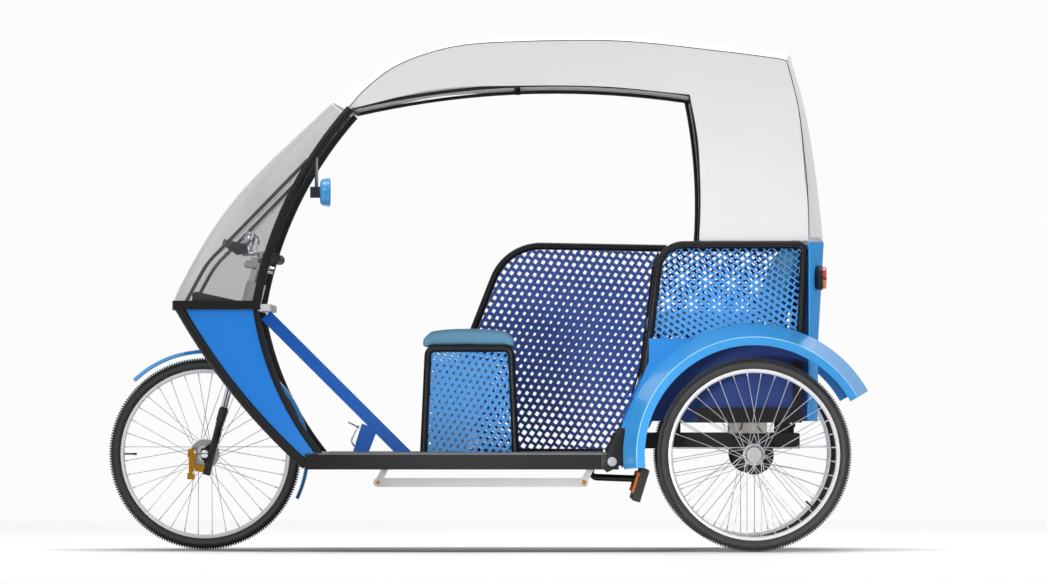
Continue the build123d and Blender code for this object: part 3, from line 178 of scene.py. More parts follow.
# %% The group for gentle tone variation
FLOAT, COLOUR, VECTOR = "NodeSocketFloat", "NodeSocketColor", "NodeSocketVector"
tone_group, way_in, way_out = new_group(
    "Tone variation",
    [("Colour", COLOUR, (0.5, 0.5, 0.5, 1)), ("Second colour", COLOUR, (0.4, 0.4, 0.4, 1)),
     ("Scale", FLOAT, 12.0), ("Amount", FLOAT, 0.5), ("Roughness", FLOAT, 0.4),
     ("Roughness change", FLOAT, 0.08)],
    [("Colour", COLOUR, None), ("Roughness", FLOAT, None)])
links = tone_group.links
coords = add_node(tone_group, "ShaderNodeTexCoord", (-900, 300))
clouds = add_node(tone_group, "ShaderNodeTexNoise", (-650, 300))
clouds.inputs["Detail"].default_value = 4.0
share = add_node(tone_group, "ShaderNodeMath", (-400, 300), operation="MULTIPLY")
mix = add_node(tone_group, "ShaderNodeMix", (-150, 200), data_type="RGBA")
centred = add_node(tone_group, "ShaderNodeMath", (-400, -100), operation="SUBTRACT")
centred.inputs[1].default_value = 0.5
swing = add_node(tone_group, "ShaderNodeMath", (-200, -100), operation="MULTIPLY")
total = add_node(tone_group, "ShaderNodeMath", (50, -100), operation="ADD")
links.new(coords.outputs["Object"], clouds.inputs["Vector"])
links.new(way_in.outputs["Scale"], clouds.inputs["Scale"])
links.new(clouds.outputs["Fac"], share.inputs[0])
links.new(way_in.outputs["Amount"], share.inputs[1])
links.new(share.outputs[0], mix.inputs["Factor"])
links.new(way_in.outputs["Colour"], mix.inputs["A"])
links.new(way_in.outputs["Second colour"], mix.inputs["B"])
links.new(clouds.outputs["Fac"], centred.inputs[0])
links.new(centred.outputs[0], swing.inputs[0])
links.new(way_in.outputs["Roughness change"], swing.inputs[1])
links.new(way_in.outputs["Roughness"], total.inputs[0])
links.new(swing.outputs[0], total.inputs[1])
links.new(mix.outputs["Result"], way_out.inputs["Colour"])
links.new(total.outputs[0], way_out.inputs["Roughness"])
print("tone group nodes:", len(tone_group.nodes))

# %% [markdown]
# Powder coat and moulded plastic have an orange-peel grain of a millimetre or so. The second
# shared group turns fine noise into a small bump, so that highlights break up as on real paint.

# %% The group for a fine surface grain
grain_group, way_in, way_out = new_group(
    "Fine grain",
    [("Scale", FLOAT, 900.0), ("Strength", FLOAT, 0.1), ("Depth", FLOAT, 0.0002)],
    [("Normal", VECTOR, None)])
links = grain_group.links
coords = add_node(grain_group, "ShaderNodeTexCoord", (-900, 200))
specks = add_node(grain_group, "ShaderNodeTexNoise", (-600, 200))
specks.inputs["Detail"].default_value = 2.0
bump = add_node(grain_group, "ShaderNodeBump", (-200, 100))
links.new(coords.outputs["Object"], specks.inputs["Vector"])
links.new(way_in.outputs["Scale"], specks.inputs["Scale"])
links.new(specks.outputs["Fac"], bump.inputs["Height"])
links.new(way_in.outputs["Strength"], bump.inputs["Strength"])
links.new(way_in.outputs["Depth"], bump.inputs["Distance"])
links.new(bump.outputs["Normal"], way_out.inputs["Normal"])
print("grain group nodes:", len(grain_group.nodes))

# %% A finish made from the two groups
def surface(tree, group, place, **values):
    """Place a shared group in a material with its own values."""
    node = add_node(tree, "ShaderNodeGroup", place, node_tree=group)
    for key, value in values.items():
        node.inputs[key.replace("_", " ")].default_value = value
    return node


def finish(name, slot, colour, second, roughness, metallic=0.0, coat=0.0, grain=(900.0, 0.1),
           tone=(12.0, 0.5), gloss_change=0.08, coat_roughness=0.05, alpha=1.0, shine=0.5):
    """A material with gentle tone variation and a fine grain; slot is the record's material slot."""
    material = bpy.data.materials.new(name)
    material.use_nodes = True
    material["slot"] = slot
    tree = material.node_tree
    shader = tree.nodes["Principled BSDF"]
    shader.inputs["Metallic"].default_value = metallic
    shader.inputs["Coat Weight"].default_value = coat
    shader.inputs["Coat Roughness"].default_value = coat_roughness
    shader.inputs["Alpha"].default_value = alpha
    shader.inputs["Specular IOR Level"].default_value = shine
    tones = surface(tree, tone_group, (-400, 200), Colour=colour, Second_colour=second,
                    Scale=tone[0], Amount=tone[1], Roughness=roughness, Roughness_change=gloss_change)
    tree.links.new(tones.outputs["Colour"], shader.inputs["Base Color"])
    tree.links.new(tones.outputs["Roughness"], shader.inputs["Roughness"])
    if grain:
        bumps = surface(tree, grain_group, (-400, -200), Scale=grain[0], Strength=grain[1])
        tree.links.new(bumps.outputs["Normal"], shader.inputs["Normal"])
    return material


print("finish helper ready")

# %% [markdown]
# ## Finishes of the CAD nodes
#
# The record names a material slot for each node. Here each slot becomes one real finish: satin
# powder coat on the tubes, high-gloss moulded panels, polished alloy rims, matte rubber.

# %% Painted and moulded finishes
black_coat = finish("Satin black powder coat", "frame_black", rgb(13, 13, 14), rgb(20, 20, 22), 0.42,
                    coat=0.05, grain=(1400.0, 0.12), tone=(9.0, 0.6), shine=0.28)
panel_blue = finish("Glossy blue panel", "body_blue", rgb(20, 124, 218), rgb(26, 134, 226), 0.34,
                    coat=0.35, grain=(500.0, 0.02), tone=(3.0, 0.5), coat_roughness=0.04, shine=0.35)
fender_blue = finish("Light blue panel", "body_blue", rgb(50, 142, 208), rgb(64, 154, 216), 0.3,
                     coat=0.45, grain=(500.0, 0.02), tone=(3.0, 0.5), coat_roughness=0.04, shine=0.4)
tube_blue = finish("Satin blue paint", "tube_blue", rgb(22, 104, 206), rgb(28, 112, 214), 0.42,
                   coat=0.1, grain=(1200.0, 0.1), tone=(10.0, 0.6), shine=0.3)
back_blue = finish("Light blue back panel", "body_blue", rgb(40, 150, 226), rgb(52, 160, 234), 0.5,
                   coat=0.1, grain=(500.0, 0.02), tone=(3.0, 0.5), shine=0.2)
stay_grey = finish("Dark grey stays", "frame_black", rgb(62, 63, 65), rgb(74, 75, 77), 0.45,
                   grain=(1400.0, 0.1), tone=(9.0, 0.6), shine=0.3)
mesh_blue = finish("Blue coated sheet", "mesh_blue", rgb(66, 142, 212), rgb(80, 154, 222), 0.42,
                   grain=(1500.0, 0.08), tone=(14.0, 0.5), shine=0.3)
# Painted shade: the two navy finishes colour the insides of the perforated sheets for the shadow that falls
# inside the tub, the deeper one on the tub's side panels.
painted_shade_navy = finish("Navy inner side", "mesh_blue", rgb(42, 78, 164), rgb(82, 108, 172), 0.5,
                   grain=(1500.0, 0.08), tone=(3.0, 1.0), shine=0.25)
painted_shade_deep_navy = finish("Deep navy inner side", "mesh_blue", rgb(20, 44, 120), rgb(28, 54, 136), 0.55,
                   grain=(1500.0, 0.08), tone=(6.0, 0.8), shine=0.2)
trim_black = finish("Moulded black plastic", "trim_black", rgb(20, 20, 21), rgb(30, 30, 31), 0.5,
                    grain=(1800.0, 0.2), tone=(20.0, 0.5))
link_grey = finish("Light grey paint", "link_grey", rgb(206, 206, 204), rgb(192, 192, 190), 0.4,
                   grain=(1300.0, 0.08), tone=(14.0, 0.7))
case_beige = finish("Beige grey case", "case_beige", rgb(244, 240, 230), rgb(236, 231, 220), 0.55,
                    grain=(1500.0, 0.15), tone=(10.0, 0.6))
locker_grey = finish("Locker sheet metal", "locker_grey", rgb(150, 156, 164), rgb(168, 173, 180), 0.5,
                     metallic=0.3, grain=(1300.0, 0.08), tone=(6.0, 0.6))
floor_grey = finish("Grey floor sheet", "floor_grey", rgb(96, 98, 100), rgb(112, 113, 115), 0.6,
                    grain=(700.0, 0.3), tone=(18.0, 0.7))
print("painted finishes:", len(bpy.data.materials))

# %% Metal finishes
alloy = finish("Polished alloy", "alloy", rgb(246, 246, 247), rgb(232, 233, 235), 0.3, metallic=0.45,
               grain=(600.0, 0.04), tone=(16.0, 0.6))
cap_alloy = finish("Satin hub cap", "alloy", rgb(176, 176, 177), rgb(160, 160, 162), 0.5, metallic=0.2,
                   grain=(600.0, 0.04), tone=(16.0, 0.6), shine=0.3)
brass = finish("Turned brass", "alloy", rgb(168, 122, 50), rgb(146, 102, 38), 0.42, metallic=0.6,
               grain=(1600.0, 0.05), tone=(40.0, 0.5))
chrome = finish("Bright chrome", "chrome", rgb(222, 223, 226), rgb(205, 207, 211), 0.08, metallic=1.0,
                grain=None, tone=(10.0, 0.5), gloss_change=0.04)
ground_steel = finish("Ground steel", "disc_steel", rgb(188, 189, 190), rgb(168, 169, 171), 0.3,
                      metallic=1.0, grain=(1600.0, 0.1), tone=(22.0, 0.6))
dark_disc = finish("Dark brake disc", "disc_black", rgb(38, 38, 40), rgb(54, 54, 56), 0.42, metallic=0.6,
                   grain=(1600.0, 0.15), tone=(18.0, 0.6))
gold_alloy = finish("Gold anodised alloy", "anodised_gold", rgb(200, 146, 38), rgb(178, 124, 26), 0.3,
                    metallic=1.0, grain=(1400.0, 0.06), tone=(30.0, 0.6))
spoke_steel = finish("Stainless spokes", "alloy", rgb(205, 206, 208), rgb(186, 187, 190), 0.3, metallic=0.8,
                     grain=None, tone=(30.0, 0.5))
print("metal finishes:", len(bpy.data.materials))

# %% Rubber and lens finishes
tyre_rubber = finish("Black tyre rubber", "tyre", rgb(40, 40, 41), rgb(58, 58, 59), 0.48,
                     grain=(1600.0, 0.35), tone=(16.0, 0.8), shine=0.5)
grip_rubber = finish("Black grip rubber", "grip_rubber", rgb(26, 26, 27), rgb(36, 36, 37), 0.7,
                     grain=(2200.0, 0.3), tone=(30.0, 0.6))
amber_lens = finish("Amber reflector", "amber", rgb(206, 104, 16), rgb(226, 128, 24), 0.16,
                    coat=0.6, grain=None, tone=(60.0, 0.8))
slate_cloth = finish("Slate blue cover", "seat_cloth", rgb(100, 148, 176), rgb(82, 130, 162), 0.85,
                     grain=(420.0, 0.9), tone=(260.0, 0.9))
grey_cloth = finish("Light grey coated cloth", "canopy_cloth", rgb(226, 226, 227), rgb(216, 216, 218), 0.75,
                    grain=(1300.0, 0.25), tone=(5.0, 0.6))
smoke_pane = finish("Smoke tinted acrylic", "screen_tint", rgb(96, 97, 100), rgb(108, 109, 112), 0.05,
                    grain=None, tone=(4.0, 0.5), gloss_change=0.02, alpha=0.2, shine=0.4)
print("all finishes:", len(bpy.data.materials))

# %% [markdown]
# Some parts carry two finishes: a fork leg is black below and chromed above, a tail lamp is red
# above amber. The tub's side is painted dark navy inside the wheel arch, as painted shade for the
# shadow under the fender. They could be split into pieces, but the real part is one, so a mask worked
# out from Object coordinates turns one finish into the other across a few millimetres at most.

# %% Masks from Object coordinates
SHARP_FADE, SOFT_FADE = 0.0005, 0.002     # half the width in which one finish turns into the other


def height_mask(material, height):
    """A mask that is 1 below this height, in metres."""
    tree = material.node_tree
    coords = add_node(tree, "ShaderNodeTexCoord", (-1300, -400))
    parts = add_node(tree, "ShaderNodeSeparateXYZ", (-1100, -400))
    edge = add_node(tree, "ShaderNodeMapRange", (-900, -400))
    edge.inputs["From Min"].default_value = height + SHARP_FADE
    edge.inputs["From Max"].default_value = height - SHARP_FADE
    tree.links.new(coords.outputs["Object"], parts.inputs[0])
    tree.links.new(parts.outputs["Z"], edge.inputs["Value"])
    return edge.outputs["Result"]


# Used only for the painted shade inside the rear wheel arch.
def arch_shade_mask(material, centre, radius):
    """A mask that is 1 inside a circle in the X-Z plane."""
    tree = material.node_tree
    coords = add_node(tree, "ShaderNodeTexCoord", (-1500, -400))
    shifted = add_node(tree, "ShaderNodeVectorMath", (-1300, -400), operation="SUBTRACT")
    shifted.inputs[1].default_value = centre
    flat = add_node(tree, "ShaderNodeVectorMath", (-1200, -400), operation="MULTIPLY")
    flat.inputs[1].default_value = (1.0, 0.0, 1.0)
    spread = add_node(tree, "ShaderNodeVectorMath", (-1100, -400), operation="LENGTH")
    edge = add_node(tree, "ShaderNodeMapRange", (-900, -400))
    edge.inputs["From Min"].default_value = radius + SOFT_FADE
    edge.inputs["From Max"].default_value = radius - SOFT_FADE
    tree.links.new(coords.outputs["Object"], shifted.inputs[0])
    tree.links.new(shifted.outputs["Vector"], flat.inputs[0])
    tree.links.new(flat.outputs["Vector"], spread.inputs[0])
    tree.links.new(spread.outputs["Value"], edge.inputs["Value"])
    return edge.outputs["Result"]


def second_finish(material, mask, colour, roughness=None, metallic=None):
    """Where the mask is 1, the material turns to another colour, gloss and metal share."""
    tree = material.node_tree
    shader = tree.nodes["Principled BSDF"]
    for label, kind, value in (("Base Color", "RGBA", colour), ("Roughness", "FLOAT", roughness),
                               ("Metallic", "FLOAT", metallic)):
        if value is None:
            continue
        mix = add_node(tree, "ShaderNodeMix", (-150, 200), data_type=kind)
        socket = shader.inputs[label]
        if socket.links:
            tree.links.new(socket.links[0].from_socket, mix.inputs["A"])
        else:
            mix.inputs["A"].default_value = socket.default_value
        mix.inputs["B"].default_value = value
        tree.links.new(mask, mix.inputs["Factor"])
        tree.links.new(mix.outputs["Result"], socket)
    return material


print("mask helpers ready")

# %% The parts with two finishes, and the painted shade in the wheel arch
TYRE_R = 0.3265
FRONT_AXLE, REAR_AXLE = Vector((-0.959, 0.0, TYRE_R)), Vector((0.901, 0.0, TYRE_R))
LEGS_TOP, ARM_JOINT_TOP, BENCH_FEET_TOP = 0.452, 1.2282, 0.4370     # heights of the changes
AMBER_TOP, RED_FOOT = 0.916, 0.921
ARCH_SHADE_R = 0.432
fork_finish = finish("Chromed stanchions, black legs", "chrome", rgb(222, 223, 226), rgb(205, 207, 211),
                     0.1, metallic=1.0, grain=None, tone=(10.0, 0.5), gloss_change=0.04)
second_finish(fork_finish, height_mask(fork_finish, LEGS_TOP), rgb(12, 12, 13), roughness=0.22,
              metallic=0.0)
arm_finish = finish("Chromed arm, black joint", "frame_black", rgb(214, 215, 218), rgb(190, 192, 196), 0.14,
                    metallic=1.0, grain=None, tone=(10.0, 0.5), gloss_change=0.04)
second_finish(arm_finish, height_mask(arm_finish, ARM_JOINT_TOP), rgb(26, 26, 27), roughness=0.5,
              metallic=0.0)
# Painted shade: inside a circle round the rear axle the tub's side turns dark navy and matte, standing for
# the shadow under the fender.
arch_shade_finish = finish("Side panel with a dark arch", "body_blue", rgb(38, 126, 200), rgb(46, 136, 208), 0.34,
                     grain=(500.0, 0.02), tone=(3.0, 0.5), shine=0.2)
second_finish(arch_shade_finish, arch_shade_mask(arch_shade_finish, REAR_AXLE, ARCH_SHADE_R), rgb(44, 64, 122), roughness=0.7)
bench_finish = finish("Blue bench, black feet", "body_blue", rgb(20, 124, 218), rgb(26, 134, 226), 0.34,
                      grain=(500.0, 0.02), tone=(3.0, 0.5), shine=0.3)
second_finish(bench_finish, height_mask(bench_finish, BENCH_FEET_TOP), rgb(13, 13, 14), roughness=0.42)
lens_finish = finish("Red and amber lens", "lamp_red", rgb(206, 26, 18), rgb(226, 44, 30), 0.14,
                     coat=0.8, grain=None, tone=(60.0, 0.8))
second_finish(lens_finish, height_mask(lens_finish, RED_FOOT), rgb(30, 12, 10))
second_finish(lens_finish, height_mask(lens_finish, AMBER_TOP), rgb(232, 122, 20))
print("two-tone finishes ready")

# %% Give every CAD node the finish of its slot
by_slot = {material["slot"]: material for material in reversed(bpy.data.materials) if "slot" in material}
by_slot.update(body_blue=panel_blue, mesh_blue=mesh_blue, alloy=alloy, frame_black=black_coat,
               chrome=chrome)
OWN_FINISH = {"fenders": fender_blue, "front_mudguard": fender_blue, "tub_back": back_blue,
              "fork": fork_finish, "mirror_arm": arm_finish, "tub_sides": arch_shade_finish,
              "lamp_lenses": lens_finish, "screen_stays": stay_grey, "drive_motor": black_coat,
              "bench_base": bench_finish}
for part in frame["record"]["subparts"]:
    node = frame["nodes"][part["node"]]
    node.data.materials.clear()
    node.data.materials.append(OWN_FINISH.get(part["node"]) or by_slot[part["material_slot"]])
print("finished CAD nodes:", len(frame["nodes"]))

# %% [markdown]
# ## The canopy
#
# The real canopy is coated cloth, pulled tight over bows and rails: one sheet for the roof and
# back, and one curtain on each side. It could be a block with a cloth colour, but cloth shows
# itself by its one continuous curve and by thin edges. So each sheet starts as a flat grid whose
# points are moved onto a curve through measured stations, and Solidify gives it its thickness.

# %% A smooth line through stations
def along(points, share):
    """The point at a share (0 to 1) of a smooth line through 2-D or 3-D points."""
    count = len(points) - 1
    place = min(max(share, 0.0), 1.0) * count
    index = min(int(place), count - 1)
    t = place - index
    p1, p2 = Vector(points[index]), Vector(points[index + 1])
    p0 = Vector(points[index - 1]) if index > 0 else p1 * 2 - p2
    p3 = Vector(points[index + 2]) if index + 2 <= count else p2 * 2 - p1
    return 0.5 * (p1 * 2 + (p2 - p0) * t + (p0 * 2 - p1 * 5 + p2 * 4 - p3) * t * t
                  + (p1 * 3 - p0 - p2 * 3 + p3) * t ** 3)


def shaped_grid(name, columns, rows, place):
    """A flat grid whose points are moved to place(u, v), with u and v from 0 to 1."""
    clear()
    bpy.ops.mesh.primitive_grid_add(x_subdivisions=columns, y_subdivisions=rows, size=1.0,
                                    location=(0, 0, 0))
    piece = bpy.context.object
    piece.name = name
    for point in piece.data.vertices:
        point.co = place(point.co.x + 0.5, point.co.y + 0.5)
    piece.data.update()
    return piece


def bowed(station, v, half):
    """A point of a sheet bowed from side to side: v from 0 to 1 across it, half its width in y."""
    side_x, side_z, middle_x, middle_z = station
    across = 2 * v - 1
    rise = 1 - across * across
    return Vector((side_x + (middle_x - side_x) * rise, across * half, side_z + (middle_z - side_z) * rise))


def thicken(piece, thickness, offset=-1.0):
    """Give a sheet its wall, inwards unless the offset says otherwise."""
    pick(piece)
    wall = piece.modifiers.new("Wall", "SOLIDIFY")
    wall.thickness = thickness
    wall.offset = offset
    bpy.ops.object.modifier_apply(modifier=wall.name)
    return piece


print("halfway along three points:", along([(0, 0), (1, 1), (2, 0)], 0.5))

# %% The roof's stations
# Each row is side x, side z, middle x, middle z, in metres.
ROOF_FRONT = [(-0.471, 1.487, -0.525, 1.523), (-0.399, 1.565, -0.413, 1.598),
              (-0.289, 1.643, -0.300, 1.666), (-0.112, 1.700, -0.112, 1.722),
              (0.105, 1.718, 0.105, 1.746), (0.450, 1.720, 0.450, 1.748),
              (0.795, 1.685, 0.800, 1.717), (1.012, 1.657, 1.030, 1.691)]
ROOF_BACK = [(1.012, 1.657, 1.030, 1.691), (1.051, 1.501, 1.080, 1.516),
             (1.071, 1.343, 1.110, 1.356), (1.083, 1.215, 1.130, 1.208), (1.088, 1.048, 1.147, 1.050)]
ROOF_HALF = 0.4222     # half the roof's width
CLOTH_WALL = 0.0025
FRONT_SHARE = 0.72     # of the grid's length that lies on the roof


def roof_station(share):
    """The station at a share of the sheet's length, along the roof and then down the back."""
    if share <= FRONT_SHARE:
        return along(ROOF_FRONT, share / FRONT_SHARE)
    return along(ROOF_BACK, (share - FRONT_SHARE) / (1 - FRONT_SHARE))


def roof_point(u, v):
    """A point of the roof and back sheet."""
    return bowed(roof_station(u), v, ROOF_HALF)


print("roof edge at half its length:", tuple(round(c, 3) for c in roof_point(0.5, 0)))

# %% The roof and back sheet
roof_cloth = shaped_grid("canopy_roof_cloth", 100, 28, roof_point)
face_out(roof_cloth)
thicken(roof_cloth, CLOTH_WALL)
finish_piece(roof_cloth, "canopy_roof_cloth", "frame", grey_cloth, smooth=40)
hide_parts("canopy_roof")

# %% The side curtains' outline
RAIL_EDGE = [(-0.446, 1.494), (-0.170, 1.556), (0.105, 1.569), (0.400, 1.566), (0.686, 1.539)]
POST_EDGE = [(0.686, 1.539), (0.713, 1.390), (0.722, 1.235), (0.722, 1.140), (0.718, 1.0465)]
CURTAIN_Y = 0.4245


def roof_side(share):
    """The seam: the roof sheet's side edge, as (x, z)."""
    station = roof_station(share)
    return Vector((station[0], station[1]))


def seam_share(low, high, not_reached):
    """The share between low and high where the seam reaches a place, found by halving."""
    for _ in range(40):
        middle = (low + high) / 2
        if not_reached(roof_side(middle)):
            low = middle
        else:
            high = middle
    return (low + high) / 2


def share_at_height(z):
    """Where the back's side edge is at height z."""
    return seam_share(FRONT_SHARE, 1.0, lambda seam: seam.y > z)


def share_at_x(x):
    """Where the roof's side edge is at this x."""
    return seam_share(0.0, FRONT_SHARE, lambda seam: seam.x < x)


CORNER_X, CORNER_Z = 0.686, 1.539     # where the rail meets the rear post
print("seam share over the post:", round(share_at_x(CORNER_X), 3))

# %% A curtain's three patches: over the rail, in the corner, behind the post
def curtain_patches(side):
    """The flat patches of one curtain, which share their edges."""
    y = side * CURTAIN_Y

    def strip(u, v):
        low = along(RAIL_EDGE, u)
        high = roof_side(u * share_at_x(CORNER_X))
        point = low.lerp(high, v)
        return Vector((point[0], y, point[1]))

    def corner(u, v):
        rear = roof_side(share_at_height(CORNER_Z))
        low = Vector((CORNER_X, CORNER_Z)).lerp(Vector((rear[0], CORNER_Z)), u)
        start = share_at_x(CORNER_X)
        high = roof_side(start + (FRONT_SHARE - start) * u)
        bend = roof_side(share_at_height(CORNER_Z + (roof_side(FRONT_SHARE)[1] - CORNER_Z) * v))
        point = low.lerp(high, v)
        if u > 0.999:
            point = bend
        return Vector((point[0], y, point[1]))

    def back(u, v):
        z = POST_EDGE[-1][1] + (CORNER_Z - POST_EDGE[-1][1]) * v
        left = along(POST_EDGE, 1 - v)
        right = roof_side(share_at_height(z))
        point = left.lerp(Vector((right[0], left[1])), u)
        return Vector((point[0], y, point[1]))

    return [shaped_grid("strip", 44, 6, strip), shaped_grid("corner", 14, 6, corner),
            shaped_grid("back", 14, 20, back)]


print("curtain patches ready")

# %% The two curtains
EDGE_GAP = 0.0015     # patch points closer than this are one point
for side, label in ((-1, "left"), (1, "right")):
    curtain = joined("curtain", *curtain_patches(side))
    face_out(curtain, gap=EDGE_GAP)
    thicken(curtain, CLOTH_WALL, offset=0.0)
    finish_piece(curtain, f"canopy_curtain_{label}", "frame", grey_cloth, smooth=40)
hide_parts("canopy_sides")

# %% [markdown]
# Where two sheets meet, the maker sews in a thin piping cord. From the side it is the fine dark
# line round the canopy. A curve with a round bevel follows the seam and is then made a mesh.

# %% Piping along the seams
def tube_along(name, points, radius, body, material):
    """A round cord of this radius along a list of points, made a mesh."""
    clear()
    curve = bpy.data.curves.new(name, "CURVE")
    curve.dimensions = "3D"
    curve.bevel_depth = radius
    curve.bevel_resolution = 2
    curve.use_fill_caps = True
    spline = curve.splines.new("POLY")
    spline.points.add(len(points) - 1)
    for point, target in zip(spline.points, points):
        point.co = (*target, 1.0)
    cord = bpy.data.objects.new(name, curve)
    bpy.context.scene.collection.objects.link(cord)
    pick(cord)
    bpy.ops.object.convert(target="MESH")
    return finish_piece(bpy.context.object, name, body, material, smooth=60)


PIPING_R, PIPING_OUT, PIPING_DOWN, PIPING_STEPS = 0.0016, 0.0006, 0.0005, 90
for side, label in ((-1, "left"), (1, "right")):
    y = side * (CURTAIN_Y + PIPING_OUT)
    edge = [roof_side(n / PIPING_STEPS) for n in range(PIPING_STEPS + 1)]
    seam = [Vector((point.x, y, point.y - PIPING_DOWN)) for point in edge]
    tube_along(f"seam_piping_{label}", seam, PIPING_R, "frame", trim_black)

# %% [markdown]
# ## The windscreen
#
# The screen is one pane of smoke-tinted acrylic, bowed from side to side and curving back to the
# roof. It reads as glass only if its highlights run without kinks, so it is made like the canopy:
# a fine grid moved onto a smooth curve through its own stations, with a wall of its real thickness.

# %% The pane
# Each row is side x, side z, middle x, middle z, from the belt bar up to the roof.
SCREEN = [(-1.0148, 0.8455, -1.0668, 0.8455), (-0.996, 0.888, -1.044, 0.898),
          (-0.941, 0.969, -0.985, 1.008), (-0.860, 1.039, -0.926, 1.103), (-0.759, 1.140, -0.849, 1.206),
          (-0.669, 1.236, -0.752, 1.310), (-0.618, 1.301, -0.686, 1.373), (-0.558, 1.387, -0.606, 1.448),
          (-0.476, 1.4815, -0.530, 1.5185)]
SCREEN_HALF, PANE_WALL = 0.4215, 0.004
screen_pane = shaped_grid("windscreen_pane", 64, 32, lambda u, v: bowed(along(SCREEN, u), v, SCREEN_HALF))
face_out(screen_pane)
thicken(screen_pane, PANE_WALL)
finish_piece(screen_pane, "windscreen_pane", "frame", smoke_pane, smooth=30)
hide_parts("windscreen")
print("pane faces:", len(screen_pane.data.polygons))

# %% [markdown]
# ## The cushions
#
# A cushion is foam in a sewn cover: its top is crowned and its sides swell between the seams. It
# could be a bevelled box, but a short cloth simulation with air pressure inside gives the real
# swelling. Each pad starts a little small, is blown up, and no point may move further than a cap.

# %% Blow up a block into a pad
AIR_PRESSURE, LAST_FRAME = 4.0, 20


def pad_block(name, low, high, turn=0.0, pivot=None, voxel=0.006, cap=0.010):
    """A rounded block between two corners, blown up by a short simulation, then turned about Y."""
    clear()
    size = Vector(high) - Vector(low)
    middle = (Vector(high) + Vector(low)) / 2
    bpy.ops.mesh.primitive_cube_add(size=1.0, location=middle)
    pad = bpy.context.object
    pad.name = name
    pad.dimensions = size
    apply_place(pad)
    rounding = pad.modifiers.new("Rounding", "BEVEL")
    rounding.width = min(size) * 0.32
    rounding.segments = 4
    remesh = pad.modifiers.new("Even mesh", "REMESH")
    remesh.mode = "VOXEL"
    remesh.voxel_size = voxel
    apply_modifiers(pad)
    start = [point.co.copy() for point in pad.data.vertices]
    cloth = pad.modifiers.new("Cloth", "CLOTH")
    cloth.settings.use_pressure = True
    cloth.settings.uniform_pressure_force = AIR_PRESSURE
    cloth.settings.effector_weights.gravity = 0.0
    cloth.point_cache.frame_start = 1
    cloth.point_cache.frame_end = LAST_FRAME
    for number in range(1, LAST_FRAME + 1):
        bpy.context.scene.frame_set(number)
    apply_modifiers(pad)
    bpy.context.scene.frame_set(1)
    for point, origin in zip(pad.data.vertices, start):
        move = point.co - origin
        if move.length > cap:
            point.co = origin + move * (cap / move.length)
    if turn:
        pick(pad)
        bpy.ops.object.mode_set(mode="EDIT")
        bpy.ops.mesh.select_all(action="SELECT")
        bpy.ops.transform.rotate(value=turn, orient_axis="Y", center_override=pivot)
        bpy.ops.object.mode_set(mode="OBJECT")
    return pad


print("pad helper ready")

# %% The driver's saddle cushion
SADDLE_LOW, SADDLE_HIGH = Vector((-0.219, -0.214, 0.699)), Vector((0.099, 0.214, 0.746))
SADDLE_FALL = 0.014     # how far the top falls towards its front and rear edges
LIP_START = 0.78        # the share of the half length past which the edges also hang over
saddle = pad_block("driver_saddle", SADDLE_LOW, SADDLE_HIGH, cap=0.006)
middle_x, half_x = (SADDLE_LOW.x + SADDLE_HIGH.x) / 2, (SADDLE_HIGH.x - SADDLE_LOW.x) / 2
for point in saddle.data.vertices:
    reach = abs(point.co.x - middle_x) / half_x
    height = (point.co.z - SADDLE_LOW.z) / (SADDLE_HIGH.z - SADDLE_LOW.z)
    fall = SADDLE_FALL * reach ** 2.5 * max(height, 0.0)
    point.co.z -= fall + SADDLE_FALL * max(0.0, reach - LIP_START) / (1 - LIP_START)
finish_piece(saddle, "driver_saddle", "frame", slate_cloth, smooth=70)
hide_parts("driver_cushion")
print("saddle points:", len(saddle.data.vertices))

# %% The bench and backrest cushions
bench_pad = pad_block("bench_pad", (0.541, -0.406, 0.740), (0.905, 0.406, 0.800), voxel=0.008)
finish_piece(bench_pad, "bench_pad", "frame", slate_cloth, smooth=70)
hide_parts("bench_cushion")
BACK_FOOT, BACK_HEAD = Vector((0.915, 0.783)), Vector((1.004, 1.035))     # the backrest's line in x and z
BACK_GAP, BACK_DEPTH, BACK_HALF = 0.004, 0.064, 0.409
lean = atan2(BACK_HEAD.x - BACK_FOOT.x, BACK_HEAD.y - BACK_FOOT.y)
length = (BACK_HEAD - BACK_FOOT).length
back_low = (BACK_FOOT.x + BACK_GAP, -BACK_HALF, BACK_FOOT.y + BACK_GAP)
back_high = (BACK_FOOT.x + BACK_DEPTH, BACK_HALF, BACK_FOOT.y + length - BACK_GAP)
back_pad = pad_block("backrest_pad", back_low, back_high, turn=-lean, pivot=(BACK_FOOT.x, 0, BACK_FOOT.y),
                     voxel=0.008)
finish_piece(back_pad, "backrest_pad", "frame", slate_cloth, smooth=70)
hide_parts("backrest_cushion")
print("the backrest leans", round(degrees(lean), 1), "degrees")

# %% [markdown]
# ## Perforated panels
#
# The side panels are sheet punched with staggered rows of holes. One cell is modelled: a ring of
# faces round a hole. Arrays repeat it along a row, then to the next row half a pitch further on,
# then upwards. The lattice is turned and cut to the panel's outline, which is read from the
# CAD panel, and last it gets its wall. The sheet is light blue outside, and its inside is painted
# navy as painted shade for the shadow inside the tub. A picture of holes would show neither the
# wall of the sheet nor what lies behind it.

# %% One cell and its lattice
RIM_SLACK = (0.001, 0.0005)     # how far past half a hole a point still counts as its rim


